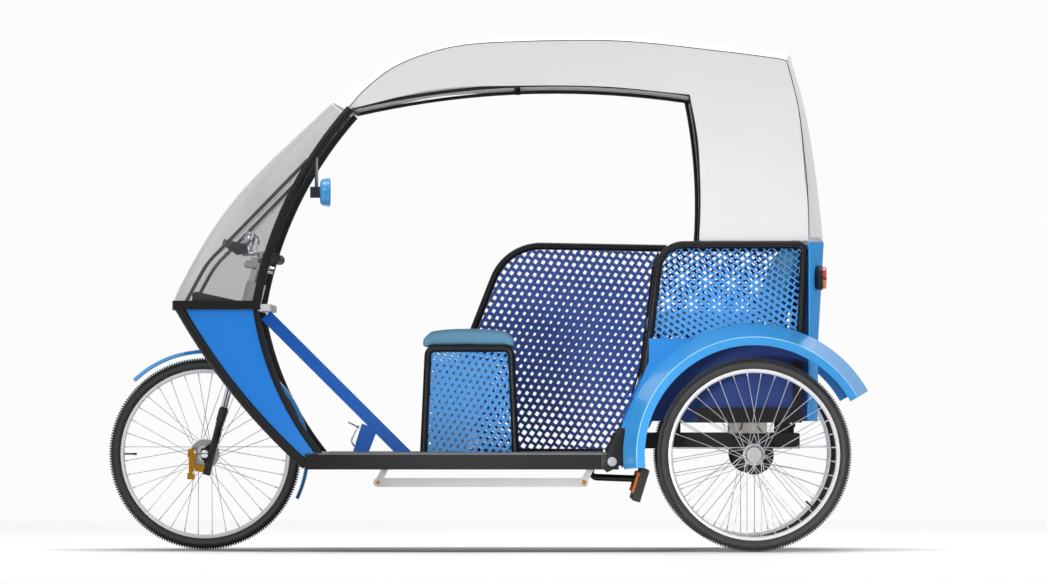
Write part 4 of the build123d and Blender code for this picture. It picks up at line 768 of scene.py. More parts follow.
def lattice(name, middle, rise, pitch, row_gap, hole, reach, shrink=None):
    """A flat lattice in the X-Z plane; hole is its length and height, shrink(x, z) narrows it."""
    clear()
    bpy.ops.mesh.primitive_circle_add(vertices=6, radius=0.01, fill_type="NOTHING", location=(0, 0, 0))
    cell = bpy.context.object
    cell.name = name
    corners = [(-0.5, -0.5), (0, -0.5), (0.5, -0.5), (0.5, 0.5), (0, 0.5), (-0.5, 0.5)]
    for point, (u, v) in zip(cell.data.vertices, corners):
        point.co = (u * pitch, 0, v * row_gap)
    bpy.ops.object.mode_set(mode="EDIT")
    bpy.ops.mesh.select_all(action="SELECT")
    bpy.ops.mesh.extrude_region_move()
    bpy.ops.object.mode_set(mode="OBJECT")
    for point in cell.data.vertices:
        if point.select:
            point.co.x *= hole[0] / pitch
            point.co.z *= hole[1] / row_gap
    columns, pairs = 2 * int(reach / pitch) + 3, int(reach / row_gap) + 2
    cell.location = (-(columns // 2) * pitch, 0, -pairs * row_gap)
    apply_place(cell)
    repeats = (((pitch, 0, 0), columns), ((pitch / 2, 0, row_gap), 2), ((0, 0, 2 * row_gap), pairs))
    for step, count in repeats:
        copies = cell.modifiers.new("Copies", "ARRAY")
        copies.use_relative_offset = False
        copies.use_constant_offset = True
        copies.constant_offset_displace = step
        copies.count = count
    apply_modifiers(cell)
    along_u = Vector((cos(radians(rise)), sin(radians(rise))))
    for point in cell.data.vertices:
        u, v = point.co.x, point.co.z
        row = round(v / row_gap)
        shift = (row + pairs) % 2 * pitch / 2
        centre_u, centre_v = round((u - shift) / pitch) * pitch + shift, row * row_gap
        beside = abs(u - centre_u) < 0.49 * hole[0] + RIM_SLACK[0]
        if shrink and beside and abs(v - centre_v) < 0.5 * hole[1] + RIM_SLACK[1]:
            x = middle[0] + centre_u * along_u.x - centre_v * along_u.y
            z = middle[1] + centre_u * along_u.y + centre_v * along_u.x
            long_share, short_share = shrink(x, z)
            u, v = centre_u + (u - centre_u) * long_share, centre_v + (v - centre_v) * short_share
        point.co = (middle[0] + u * along_u.x - v * along_u.y, 0, middle[1] + u * along_u.y + v * along_u.x)
    pick(cell)
    bpy.ops.object.mode_set(mode="EDIT")
    bpy.ops.mesh.select_all(action="SELECT")
    bpy.ops.mesh.remove_doubles(threshold=0.0001)
    bpy.ops.object.mode_set(mode="OBJECT")
    return cell


def cut_to(piece, outline):
    """Keep the part of a flat piece inside a convex outline of (x, z) points."""
    pick(piece)
    bpy.ops.object.mode_set(mode="EDIT")
    middle = sum(outline, Vector((0.0, 0.0))) / len(outline)
    for a, b in zip(outline, outline[1:] + outline[:1]):
        if (b - a).length < 0.0005:
            continue
        normal = Vector((b.y - a.y, a.x - b.x)).normalized()
        if normal.dot(a - middle) < 0:
            normal.negate()
        bpy.ops.mesh.select_all(action="SELECT")
        bpy.ops.mesh.bisect(plane_co=(a.x, 0, a.y), plane_no=(normal.x, 0, normal.y), clear_outer=True)
    bpy.ops.object.mode_set(mode="OBJECT")
    return piece


print("lattice helpers ready")

# %% The outline of a CAD panel
def outline_of(node, side, further=()):
    """The convex outline in X and Z of the flat CAD panel on one side, out to further points."""
    points = [frame["nodes"][node].matrix_world @ point.co for point in frame["nodes"][node].data.vertices]
    flat = [Vector((point.x, point.z)) for point in points if point.y * side > 0]
    flat += [Vector(point) for point in further]
    return [flat[index] for index in convex_hull_2d(flat)]


def coated_sheet(sheet, name, y, side, inner, thickness=0.0028):
    """Give a flat lattice its place, its wall and two tones: light outside, and inside a darker colour that
    is painted shade.
    """
    sheet.location = (0, side * y + thickness / 2, 0)
    apply_place(sheet)
    thicken(sheet, thickness, offset=1.0)
    face_out(sheet)
    finish_piece(sheet, name, "frame", mesh_blue, smooth=0)
    # Faces looking outwards keep the light blue; all other faces, hole walls too, get the inner colour,
    # which is painted shade.
    sheet.data.materials.append(inner)
    for face in sheet.data.polygons:
        face.material_index = 0 if face.normal.y * side > 0.5 else 1
    return sheet


print("panel helpers ready")

# %% Lattices, and where their holes narrow
# columns: turn of the rows in degrees, pitch along a row, gap between rows, hole's length and height
SIDE_LATTICE = (-36.9, 0.0225, 0.0190, (0.0190, 0.0156))
FAR_SIDE_LATTICE = (36.9, 0.0225, 0.0190, (0.0132, 0.0116))
GUARD_LATTICE = (55.7, 0.0261, 0.0231, (0.0150, 0.0142))
SEAT_LATTICE = (52.5, 0.0236, 0.0205, (0.0184, 0.0152))
WIDER, SLOWER = 1.25, 1.3     # the narrow patch is wider than high, and starts gently


def narrowing(dip, reach, long_least, short_least):
    """Holes that get smaller towards one place on the panel."""
    def shares(x, z):
        far = min(1.0, hypot((x - dip[0]) / WIDER, z - dip[1]) / reach) ** SLOWER
        return long_least + (1 - long_least) * far, short_least + (1 - short_least) * far
    return shares


SIDE_NARROWING = narrowing((0.823, 0.770), 0.25, 0.48, 0.30)
SEAT_NARROWING = narrowing((-0.165, 0.540), 0.36, 0.44, 0.34)
GUARD_NARROWING = narrowing((0.290, 0.725), 0.36, 0.62, 0.38)
print("rows of holes in the side panel turn by", SIDE_LATTICE[0], "degrees")

# %% The panels
TUB_PANEL_Y, SEAT_PANEL_Y, MARGIN = 0.4332, 0.2050, 0.02
GUARD_REAR = [(0.412, 0.341), (0.474, 0.427), (0.506, 0.550), (0.549, 0.690)]
# columns: node, side, y, lattice, its shift in x and z, where the holes get smaller, further outline
PANELS = [("side_meshes", -1, TUB_PANEL_Y, SIDE_LATTICE, (0.0, 0.0), SIDE_NARROWING, ()),
          ("side_meshes", 1, TUB_PANEL_Y, FAR_SIDE_LATTICE, (0.0090, -0.0068), None, ()),
          ("seat_meshes", -1, SEAT_PANEL_Y, SEAT_LATTICE, (0.0, 0.0), SEAT_NARROWING, ()),
          ("seat_meshes", 1, SEAT_PANEL_Y, SEAT_LATTICE, (0.0072, 0.0094), None, ()),
          ("guard_mesh", 1, TUB_PANEL_Y, GUARD_LATTICE, (0.0, 0.0), GUARD_NARROWING, GUARD_REAR)]
for node, side, y, (rise, pitch, row_gap, hole), shift, shrink, further in PANELS:
    outline = outline_of(node, side, further)
    low = Vector((min(p.x for p in outline), min(p.y for p in outline)))
    high = Vector((max(p.x for p in outline), max(p.y for p in outline)))
    middle = (low + high) / 2 + Vector(shift)
    reach = (high - low).length / 2 + MARGIN
    flat = lattice(node, middle, rise, pitch, row_gap, hole, reach, shrink)
    cut_to(flat, outline)
    # The inside of each sheet is painted shade, deepest on the tub's side panels.
    inner = painted_shade_deep_navy if node == "side_meshes" else painted_shade_navy
    sheet = coated_sheet(flat, f"{node}_{'right' if side > 0 else 'left'}", y, side, inner)
    if side > 0:
        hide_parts(node)
    print(sheet.name, "faces:", len(sheet.data.polygons))

# %% [markdown]
# ## Tyres
#
# A city tyre has a smooth sidewall and a crown of small square blocks. The carcass is a section
# spun round the axle. One block is modelled, and an Array turned by an empty repeats it, because
# hundreds of blocks by hand would drift. A crown sharper than the CAD solid's would not fit it,
# so the blocks end at the CAD tyre's outer radius.

# %% The carcass, spun round the Y axis
TYRE_SECTION = [(0.2826, 0.0098), (0.2890, 0.0100), (0.2918, 0.0140), (0.2965, 0.0196), (0.3030, 0.0229),
                (0.3095, 0.0226), (0.3146, 0.0184), (0.3190, 0.0126), (0.3214, 0.0060)]


def spun_ring(name, section, steps=96):
    """A closed ring from a closed list of (radius, y) points, spun round the Y axis."""
    clear()
    bpy.ops.mesh.primitive_circle_add(vertices=len(section), radius=0.01, location=(0, 0, 0))
    ring = bpy.context.object
    ring.name = name
    for point, (radius, y) in zip(ring.data.vertices, section):
        point.co = (radius, y, 0)
    bpy.ops.object.mode_set(mode="EDIT")
    bpy.ops.mesh.select_all(action="SELECT")
    bpy.ops.mesh.spin(steps=steps, angle=2 * pi, center=(0, 0, 0), axis=(0, 1, 0))
    bpy.ops.object.mode_set(mode="OBJECT")
    face_out(ring)
    return ring


def around(piece, count):
    """Repeat a piece count times round the Y axis through the origin."""
    clear()
    bpy.ops.object.empty_add(location=(0, 0, 0))
    turner = bpy.context.object
    turner.rotation_euler = (0, 2 * pi / count, 0)
    copies = piece.modifiers.new("Turned copies", "ARRAY")
    copies.use_relative_offset = False
    copies.use_object_offset = True
    copies.offset_object = turner
    copies.count = count
    apply_modifiers(piece)
    bpy.data.objects.remove(turner)
    return piece


section = TYRE_SECTION + [(radius, -y) for radius, y in reversed(TYRE_SECTION)]
carcass = spun_ring("tyre_model", section, steps=120)
print("carcass faces:", len(carcass.data.polygons))

# %% The tread blocks
# columns: y of the block, radius of its top, lean in degrees, width, whether it sits half a pitch on
TREAD_ROWS = [(-0.0042, 0.3263, 6, 0.0070, 0), (0.0042, 0.3263, -6, 0.0070, 0),
              (-0.0128, 0.3242, 26, 0.0064, 0), (0.0128, 0.3242, -26, 0.0064, 0),
              (-0.0184, 0.3193, 52, 0.0056, 1), (0.0184, 0.3193, -52, 0.0056, 1)]
BLOCKS, BLOCK_LONG, BLOCK_DEEP = 228, 0.0055, 0.0084
blocks = []
for y, top, lean, width, shifted in TREAD_ROWS:
    clear()
    bpy.ops.mesh.primitive_cube_add(size=1.0, location=(0, y, top - BLOCK_DEEP / 2),
                                    rotation=(radians(-lean), 0, 0))
    block = bpy.context.object
    block.dimensions = (BLOCK_LONG, width, BLOCK_DEEP)
    apply_place(block)
    bpy.ops.object.mode_set(mode="EDIT")
    bpy.ops.mesh.select_all(action="SELECT")
    bpy.ops.transform.rotate(value=-pi / BLOCKS * shifted, orient_axis="Y", center_override=(0, 0, 0))
    bpy.ops.object.mode_set(mode="OBJECT")
    blocks.append(around(block, BLOCKS))
tyre_model = joined("tyre_model", carcass, *blocks)
print("tyre model faces:", len(tyre_model.data.polygons))

# %% One tyre for each wheel, each with its own mesh
TRACK_HALF = 0.52
WHEELS = {"front": (tuple(FRONT_AXLE), "front_wheel"),
          "left": ((REAR_AXLE.x, -TRACK_HALF, REAR_AXLE.z), "left_wheel"),
          "right": ((REAR_AXLE.x, TRACK_HALF, REAR_AXLE.z), "right_wheel")}
for label, (place, body) in WHEELS.items():
    tyre = copy_of(tyre_model, f"{label}_tyre_tread", place)
    finish_piece(tyre, f"{label}_tyre_tread", body, tyre_rubber, smooth=32)
    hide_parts(f"{label}_tyre")
bpy.data.objects.remove(tyre_model)
print("tyres:", len(WHEELS))

# %% [markdown]
# ## Rims, spokes and hubs
#
# The rims and hubs are sections spun round the axle. A spoke leans away from the radius, so that
# it pulls the hub round: neighbours lean opposite ways and cross. Two spokes are modelled for
# each flange, and an Array turned by an empty repeats the pair. Each spoke ends in a nipple.

# %% A bar between two points
def bar(name, start, end, radius, sides=12, bevel=0.0):
    """A round bar between two points, with its end edges bevelled."""
    start, end = Vector(start), Vector(end)
    clear()
    bpy.ops.mesh.primitive_cylinder_add(vertices=sides, radius=radius, depth=(end - start).length,
                                        location=(start + end) / 2)
    piece = bpy.context.object
    piece.name = name
    piece.rotation_euler = (end - start).to_track_quat("Z", "Y").to_euler()
    apply_place(piece)
    if bevel:
        rounding = piece.modifiers.new("Rounding", "BEVEL")
        rounding.width = bevel
        rounding.segments = 2
        apply_modifiers(piece)
    return piece


print("bar helper ready")

# %% Rim and hub sections: radius from the axle, y from the wheel's middle
RIM_SECTION = [(0.2745, 0.0000), (0.2748, 0.0055), (0.2772, 0.0100), (0.2790, 0.0119), (0.2866, 0.0124),
               (0.2882, 0.0121), (0.2880, 0.0110), (0.2806, 0.0102), (0.2800, 0.0060)]
FRONT_HUB = [(0.0066, 0.0440), (0.0120, 0.0440), (0.0126, 0.0350), (0.0282, 0.0322), (0.0288, 0.0300),
             (0.0282, 0.0278), (0.0142, 0.0255), (0.0126, 0.0000)]
REAR_HUB = [(0.0086, -0.0490), (0.0166, -0.0490), (0.0170, -0.0300), (0.0282, -0.0282), (0.0288, -0.0260),
            (0.0282, -0.0238), (0.0150, -0.0215), (0.0140, 0.0000), (0.0150, 0.0215), (0.0282, 0.0238),
            (0.0288, 0.0260), (0.0282, 0.0282), (0.0086, 0.0290)]
HUB_CAP = [(0.0003, 0.0292), (0.0252, 0.0292), (0.0258, 0.0320), (0.0248, 0.0356), (0.0212, 0.0374),
           (0.0180, 0.0374), (0.0172, 0.0362), (0.0100, 0.0362), (0.0092, 0.0374), (0.0040, 0.0378),
           (0.0034, 0.0366), (0.0003, 0.0366)]


def both_halves(section):
    """A section and its mirror image, as one closed ring."""
    return section + [(radius, -y) for radius, y in reversed(section) if y]


def wheel_point(radius, angle, y):
    """A point of a wheel at the origin, by its radius, its angle in degrees and its y."""
    return (radius * cos(radians(angle)), y, radius * sin(radians(angle)))


print("rim points:", len(both_halves(RIM_SECTION)))

# %% Spokes with nipples
SPOKE_LEAN = 62.0                         # degrees from the radius, measured round the hub
HUB_HOLES_R, RIM_HOLES_R = 0.0258, 0.2755
SPOKE_R, NIPPLE_R, NIPPLE_LONG = 0.0012, 0.0021, 0.013
PAIRS = 9                                 # on each side of the wheel


def spoke_set(name, flange_y):
    """All spokes of a wheel, and their nipples, as two pieces."""
    spokes, nipples = [], []
    for side in (-1, 1):
        for lean, rim_angle in ((SPOKE_LEAN, 5 * side), (-SPOKE_LEAN, 5 * side + 20)):
            hub_end = Vector(wheel_point(HUB_HOLES_R, rim_angle + lean, side * (flange_y - 0.001)))
            rim_end = Vector(wheel_point(RIM_HOLES_R, rim_angle, side * 0.003))
            thick_end = rim_end + (hub_end - rim_end).normalized() * NIPPLE_LONG
            spokes.append(around(bar("spoke", hub_end, rim_end, SPOKE_R, sides=6), PAIRS))
            nipples.append(around(bar("nipple", thick_end, rim_end, NIPPLE_R, sides=8), PAIRS))
    return joined(f"{name}_spokes", *spokes), joined(f"{name}_nipples", *nipples)


print("spokes in a wheel:", 4 * PAIRS)

# %% The wheels' metal parts
FRONT_FLANGE_Y, REAR_FLANGE_Y = 0.030, 0.026
VALVE_ANGLES = {"front": 180.0, "left": 318.0, "right": 74.0}
STEM_ENDS, STEM_R = (0.2760, 0.2440), 0.0030     # distances from the axle, and the valve stem's radius
CAP_ENDS, CAP_R = (0.2460, 0.2330), 0.0040
for label, (place, body) in WHEELS.items():
    front = label == "front"
    outward = -1 if place[1] < 0 else 1
    flange_y = FRONT_FLANGE_Y if front else REAR_FLANGE_Y
    rim = spun_ring(f"{label}_rim_ring", both_halves(RIM_SECTION), steps=120)
    spokes, nipples = spoke_set(label, flange_y)
    hub_line = both_halves(FRONT_HUB) if front else [(radius, outward * y) for radius, y in REAR_HUB]
    hub = spun_ring(f"{label}_hub", hub_line, steps=40)
    at = VALVE_ANGLES[label]
    stem = bar("stem", *(wheel_point(radius, at, 0) for radius in STEM_ENDS), STEM_R)
    valve_cap = bar("cap", *(wheel_point(radius, at, 0) for radius in CAP_ENDS), CAP_R, bevel=0.0008)
    valve = joined(f"{label}_valve", stem, valve_cap)
    pieces = [(rim, alloy, 30), (spokes, spoke_steel, 60), (nipples, spoke_steel, 60), (hub, chrome, 35),
              (valve, trim_black, 40)]
    if not front:
        cap = spun_ring(f"{label}_hub_cap", [(radius, outward * y) for radius, y in HUB_CAP], steps=48)
        pieces.append((cap, cap_alloy, 30))
    for piece, material, smooth in pieces:
        piece.location = place
        finish_piece(piece, piece.name, body, material, smooth=smooth)
    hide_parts(f"{label}_rim")
    print(label, "wheel faces:", sum(len(piece.data.polygons) for piece, _, _ in pieces))

# %% [markdown]
# ## Brake discs
#
# Each disc is bolted to a carrier on the hub. The CAD disc stays, and a carrier and six bolts are
# added on its face. They could be painted on, but a bolt head throws a shadow as the wheel turns.
# The carrier is spun like the rim, and one bolt is set round by an Array, as the spokes are.

# %% Carriers and bolts
# columns: wheel, y of the disc's face, which way it faces, carrier radii, bolt circle
CARRIERS = [("front", -0.0394, -1, 0.0130, 0.0275, 0.021), ("left", -0.4735, -1, 0.0180, 0.0370, 0.030),
            ("right", 0.4735, 1, 0.0180, 0.0370, 0.030)]
BOLT_R, BOLT_FROM, BOLT_TO = 0.0030, 0.001, 0.0040     # radius, and the ends out from the disc's face
for label, face_y, outward, bore, radius, bolt_circle in CARRIERS:
    place, body = WHEELS[label]
    ring = [(bore, 0.0), (radius, 0.0), (radius - 0.0008, outward * 0.0018), (bore, outward * 0.0022)]
    carrier = spun_ring(f"{label}_disc_carrier", ring, steps=48)
    bolt_foot, bolt_head = (bolt_circle, outward * BOLT_FROM, 0), (bolt_circle, outward * BOLT_TO, 0)
    bolt = bar("bolt", bolt_foot, bolt_head, BOLT_R, sides=6)
    bolts = around(bolt, 6)
    bolts.name = f"{label}_disc_bolts"
    for piece, material in ((carrier, alloy), (bolts, chrome)):
        piece.location = (place[0], face_y, place[2])
        finish_piece(piece, piece.name, body, material, smooth=30)
print("disc carriers:", len(CARRIERS))

# %% [markdown]
# ## Fork, caliper and axle
#
# The fork's black lower legs end in a collar with a dust seal, where the chromed stanchions slide
# in. The axle is held by a washer and a nut on each lug, and two bolts hold the caliper. One long
# turned piece could carry all these steps, but short bars with bevelled ends are quicker to place
# and have true edges. All of them steer with the fork.

# %% Plates cut to an outline
def plate_piece(name, outline, y_low, y_high, bevel=0.0008):
    """A flat plate from a list of (x, z) points, between two places in y."""
    clear()
    bpy.ops.mesh.primitive_circle_add(vertices=len(outline), radius=0.01, fill_type="NGON",
                                      location=(0, 0, 0))
    piece = bpy.context.object
    for point, (x, z) in zip(piece.data.vertices, outline):
        point.co = (x, y_low, z)
    bpy.ops.object.mode_set(mode="EDIT")
    bpy.ops.mesh.select_all(action="SELECT")
    bpy.ops.mesh.extrude_region_move(TRANSFORM_OT_translate={"value": (0, y_high - y_low, 0)})
    bpy.ops.object.mode_set(mode="OBJECT")
    face_out(piece)
    if bevel:
        rounding = piece.modifiers.new("Rounding", "BEVEL")
        rounding.width = bevel
        rounding.segments = 2
        apply_modifiers(piece)
    piece.name = name
    return piece


print("plate helper ready")

# %% Collars, seals, washers and nuts
STEER_ALONG, STEER_UP = 0.252, 0.9677     # the steering axis leans back by this much as it rises
STEER_FOOT, STEER_SLOPE = Vector((-0.937, 0.0, 0.322)), STEER_ALONG / STEER_UP
LEG_Y, LUG_Y = 0.062, 0.0632
WASHER_Y, NUT_Y = LUG_Y + 0.0030, 0.0735


def on_steering_axis(z, y=0.0):
    """A point on the steering axis at this height, or on a line beside it."""
    return Vector((STEER_FOOT.x + STEER_SLOPE * (z - STEER_FOOT.z), y, z))


def leg_ring(name, side, low, high, radius, bevel):
    """A round step on one fork leg, between two heights."""
    y = side * LEG_Y
    return bar(name, on_steering_axis(low, y), on_steering_axis(high, y), radius, sides=32, bevel=bevel)


def axle_piece(name, side, inner, outer, radius, sides, bevel):
    """A round or six-sided piece on the front axle, between two distances from the middle."""
    ends = [FRONT_AXLE + Vector((0, side * y, 0)) for y in (inner, outer)]
    return bar(name, *ends, radius, sides=sides, bevel=bevel)


collars, seals, washers = [], [], []
for side in (-1, 1):
    collars.append(leg_ring("collar", side, 0.436, 0.479, 0.0142, 0.0016))
    collars.append(leg_ring("ring", side, 0.424, 0.431, 0.0132, 0.001))
    seals.append(leg_ring("seal", side, 0.478, 0.486, 0.0118, 0.002))
    washers.append(axle_piece("washer", side, LUG_Y, WASHER_Y, 0.0135, 32, 0.0006))
    washers.append(axle_piece("nut", side, WASHER_Y, NUT_Y, 0.0092, 6, 0.0008))
finish_piece(joined("fork_collars", *collars), "fork_collars", "steering", trim_black)
finish_piece(joined("fork_seals", *seals), "fork_seals", "steering", grip_rubber)
finish_piece(joined("front_axle_nuts", *washers), "front_axle_nuts", "steering", chrome, smooth=30)
CALIPER_FACE, HEADS_FACE = -0.0715, -0.0760
caliper_bolts = [bar("bolt", (x, CALIPER_FACE, z), (x, HEADS_FACE, z), 0.0050, sides=6, bevel=0.0006)
                 for x, z in ((-0.992, 0.333), (-0.996, 0.262))]
finish_piece(joined("caliper_bolts", *caliper_bolts), "caliper_bolts", "steering", chrome, smooth=30)
print("fork fittings: 4 pieces")

# %% [markdown]
# ## The folding step's pins and the rail's end plates
#
# The step's cranks turn on brass pins held by light washers. The pins ride on the cranks, not on
# the link, so that they stay in their eyes as the step folds. At the rear end of each side rail a
# plate with a round grey cover closes the joint with the raised rear rail.

# %% Pins and washers of the step
PIN_Z, CRANK_FACE = 0.232, -0.394
WASHER_WIDER = 0.0042


def on_crank(name, x, proud, sunk, radius, sides, bevel):
    """A round piece on the near face of a crank, proud of it by this much."""
    ends = (x, CRANK_FACE + sunk, PIN_Z), (x, CRANK_FACE - proud, PIN_Z)
    return bar(name, *ends, radius, sides=sides, bevel=bevel)


for x, radius, label, body in ((-0.365, 0.0068, "front", "step_crank"), (0.328, 0.0084, "rear", "step")):
    pin = on_crank("pin", x, 0.0045, 0.001, radius, 24, 0.001)
    finish_piece(pin, f"step_pin_{label}", body, brass, smooth=30)
    ring = on_crank("ring", x, 0.0012, 0.0004, radius + WASHER_WIDER, 32, 0.0005)
    finish_piece(ring, f"step_ring_{label}", body, link_grey, smooth=30)
print("pins and washers: 4 pieces")

# %% End plates of the side rails
RAIL_FACE, PLATE_FACE = 0.4502, 0.4532
COVER_X, COVER_Z, COVER_R, COVER_FACES = 0.4245, 0.3027, 0.0155, (0.4530, 0.4568)
END_PLATE = [(0.388, 0.277), (0.397, 0.276), (0.407, 0.266), (0.4275, 0.276), (0.434, 0.278),
             (0.442, 0.289), (0.474, 0.289), (0.474, 0.4125), (0.450, 0.4125), (0.4045, 0.327),
             (0.388, 0.327)]
plates, covers = [], []
for side in (-1, 1):
    plates.append(plate_piece("plate", END_PLATE, side * RAIL_FACE, side * PLATE_FACE))
    cover_ends = [(COVER_X, side * y, COVER_Z) for y in COVER_FACES]
    covers.append(bar("cover", *cover_ends, COVER_R, sides=40, bevel=0.0012))
finish_piece(joined("rail_end_plates", *plates), "rail_end_plates", "frame", black_coat, smooth=30)
finish_piece(joined("rail_end_covers", *covers), "rail_end_covers", "frame", cap_alloy, smooth=30)
print("end plates and covers:", len(plates) + len(covers))

# %% The binding on the guard mesh's rear edge
BINDING_LINE = [(0.404, 0.340), *GUARD_REAR, (0.590, 1.020)]
BINDING_Y, BINDING_R = 0.4346, 0.0034
binding = [Vector((x, BINDING_Y, z)) for x, z in BINDING_LINE]
tube_along("guard_mesh_edge", binding, BINDING_R, "frame", black_coat)
print("binding points:", len(binding))

# %% [markdown]
# ## Shells stacked from rings
#
# The mirror's shell and the tail lamps' housings are rounded, tapered and stepped. A bevelled
# block would show neither the dome nor the step of the bezel. So one ring of points is extruded
# again and again, and each new ring is given its own size, from the closed back to the open rim.

# %% A stack of rings along X
def ring_stack(name, middle, rings, vertices=48):
    """A closed shell from rings along X; each ring is (x, half width in y, half height in z)."""
    clear()
    bpy.ops.mesh.primitive_circle_add(vertices=vertices, radius=1.0, fill_type="NGON", location=(0, 0, 0))
    piece = bpy.context.object
    bpy.ops.object.mode_set(mode="EDIT")
    bpy.ops.mesh.select_all(action="SELECT")
    for _ in rings[1:]:
        bpy.ops.mesh.extrude_region_move()
    bpy.ops.object.mode_set(mode="OBJECT")
    for index, point in enumerate(piece.data.vertices):
        x, half_y, half_z = rings[index // vertices]
        turn = 2 * pi * (index % vertices) / vertices
        point.co = (x, middle[1] + half_y * cos(turn), middle[2] + half_z * sin(turn))
    face_out(piece)
    piece.name = name
    return piece


MIRROR = Vector((-0.559, -0.467, 1.209))
SHELL_RINGS = [(-0.5590, 0.030, 0.022), (-0.5575, 0.050, 0.036), (-0.5530, 0.061, 0.043),
               (-0.5420, 0.0665, 0.0470), (-0.5350, 0.0665, 0.0470), (-0.5340, 0.0700, 0.0490),
               (-0.5262, 0.0700, 0.0490), (-0.5240, 0.0675, 0.0470), (-0.5240, 0.0640, 0.0440),
               (-0.5262, 0.0625, 0.0428)]
GLASS_RINGS = [(-0.5270, 0.0630, 0.0432), (-0.5256, 0.0630, 0.0432), (-0.5252, 0.0610, 0.0415)]
mirror_shell = ring_stack("mirror_shell", MIRROR, SHELL_RINGS)
finish_piece(mirror_shell, "mirror_shell", "frame", fender_blue, smooth=28)
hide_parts("mirror_head")
mirror_glass = ring_stack("mirror_glass", MIRROR, GLASS_RINGS)
finish_piece(mirror_glass, "mirror_glass", "frame", chrome, smooth=28)
print("mirror faces:", len(mirror_shell.data.polygons))

# %% Tail lamp housings
LAMP_Y, LAMP_Z = 0.330, 0.923
DOME = [(1.1069, 0.0300), (1.1085, 0.0345), (1.1140, 0.0392), (1.1220, 0.0414), (1.1330, 0.0420),
        (1.1358, 0.0415), (1.1361, 0.0390)]     # x and radius, from the back to the rim
dome_rings = [(x, radius, radius) for x, radius in DOME]
lamps = [ring_stack("housing", Vector((0, side * LAMP_Y, LAMP_Z)), dome_rings) for side in (-1, 1)]
housings = joined("tail_lamp_housings", *lamps)
finish_piece(housings, "tail_lamp_housings", "frame", trim_black, smooth=30)
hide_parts("lamp_housings")
print("tail lamp housings: 2")

# %% [markdown]
# ## The handlebar's fittings
#
# On the stem stands a bright cup with a square bail behind it, and below it a pale clamp block
# holds the bar. A cup could be spun from a section. Here it is four short bars stacked along the
# steering axis, because each step then has its own bevelled edge, and the bail is a bent rod.

# %% The cup with its bail
BELL_FOOT = on_steering_axis(1.008) + Vector((-0.060, 0.0, 0.010))
LEAN_UP, LEAN_BACK = Vector((STEER_ALONG, 0.0, STEER_UP)), Vector((STEER_UP, 0.0, -STEER_ALONG))
# columns: where the step starts and ends up the axis, radius
CUP_STEPS = [(0.0, 0.008, 0.0205), (0.007, 0.054, 0.0190), (0.053, 0.062, 0.0205), (0.061, 0.066, 0.0160)]
BAIL_LINE = [(0.014, 0.008), (0.030, 0.006), (0.033, 0.009), (0.033, 0.053), (0.030, 0.056),
             (0.014, 0.054)]     # back from the axis, and up it
rings = [bar("section", BELL_FOOT + LEAN_UP * low, BELL_FOOT + LEAN_UP * high, radius, sides=32,
             bevel=0.0012) for low, high, radius in CUP_STEPS]
bail = [BELL_FOOT + LEAN_UP * up + LEAN_BACK * back for back, up in BAIL_LINE]
bail_tube = tube_along("bail", bail, 0.0044, "steering", chrome)
bell = joined("bell_with_bail", *rings, bail_tube)
finish_piece(bell, "bell_with_bail", "steering", chrome, smooth=30)
FOOT_LINE = [(-0.834, 1.001), (-0.829, 1.013), (-0.752, 1.018), (-0.744, 1.010), (-0.752, 1.003)]
FOOT_HALF, CLAMP_HALF = 0.0140, 0.0200
bell_foot = plate_piece("bell_foot", FOOT_LINE, -FOOT_HALF, FOOT_HALF, bevel=0.002)
finish_piece(bell_foot, "bell_foot", "steering", chrome, smooth=30)
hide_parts("bell_cup")
CLAMP_LINE = [(-0.826, 0.962), (-0.826, 0.979), (-0.804, 0.983), (-0.804, 0.997), (-0.777, 0.997),
              (-0.775, 0.962)]
clamp_block = plate_piece("bar_clamp_block", CLAMP_LINE, -CLAMP_HALF, CLAMP_HALF, bevel=0.0015)
finish_piece(clamp_block, "bar_clamp_block", "steering", link_grey, smooth=30)
print("cup and clamp pieces: 3")

# %% [markdown]
# ## The battery and the motor
#
# Between the frame's rails sits the battery case, with two short leads pressed against its face,
# and behind it the motor with a black barrel and grey plugs. Both show between the spokes, so they
# need a few real edges there. A lead is a round cord along a smooth line, and each barrel or plug
# is a bar with bevelled ends.

# %% The battery's leads
CASE_FACE, LEAD_R, LEAD_STEPS = -0.1515, 0.0020, 24
LEADS = {"front": ((0.868, 0.432), (0.866, 0.418), (0.862, 0.412), (0.855, 0.405), (0.852, 0.395)),
         "rear": ((0.920, 0.432), (0.922, 0.418), (0.926, 0.412), (0.932, 0.407), (0.933, 0.402))}
for label, line in LEADS.items():
    points = [along(line, n / LEAD_STEPS) for n in range(LEAD_STEPS + 1)]
    route = [Vector((point.x, CASE_FACE, point.y)) for point in points]
    tube_along(f"battery_lead_{label}", route, LEAD_R, "frame", grip_rubber)
print("battery leads:", len(LEADS))

# %% The motor's barrel and plugs
BARREL_Y, PLUG_Y = -0.030, -0.036
barrel = bar("barrel", (0.988, BARREL_Y, 0.434), (1.006, BARREL_Y, 0.396), 0.0105, sides=32, bevel=0.002)
socket = bar("socket", (1.040, BARREL_Y, 0.426), (1.052, BARREL_Y, 0.424), 0.0075, sides=32, bevel=0.001)
finish_piece(joined("motor_barrel", barrel, socket), "motor_barrel", "frame", black_coat, smooth=30)
plug = bar("plug", (1.030, PLUG_Y, 0.434), (1.034, PLUG_Y, 0.402), 0.0062, sides=24, bevel=0.001)
collar = bar("collar", (1.008, PLUG_Y, 0.433), (1.016, PLUG_Y, 0.410), 0.0090, sides=24, bevel=0.001)
finish_piece(joined("motor_plugs", plug, collar), "motor_plugs", "frame", locker_grey, smooth=30)
print("motor pieces: 2")
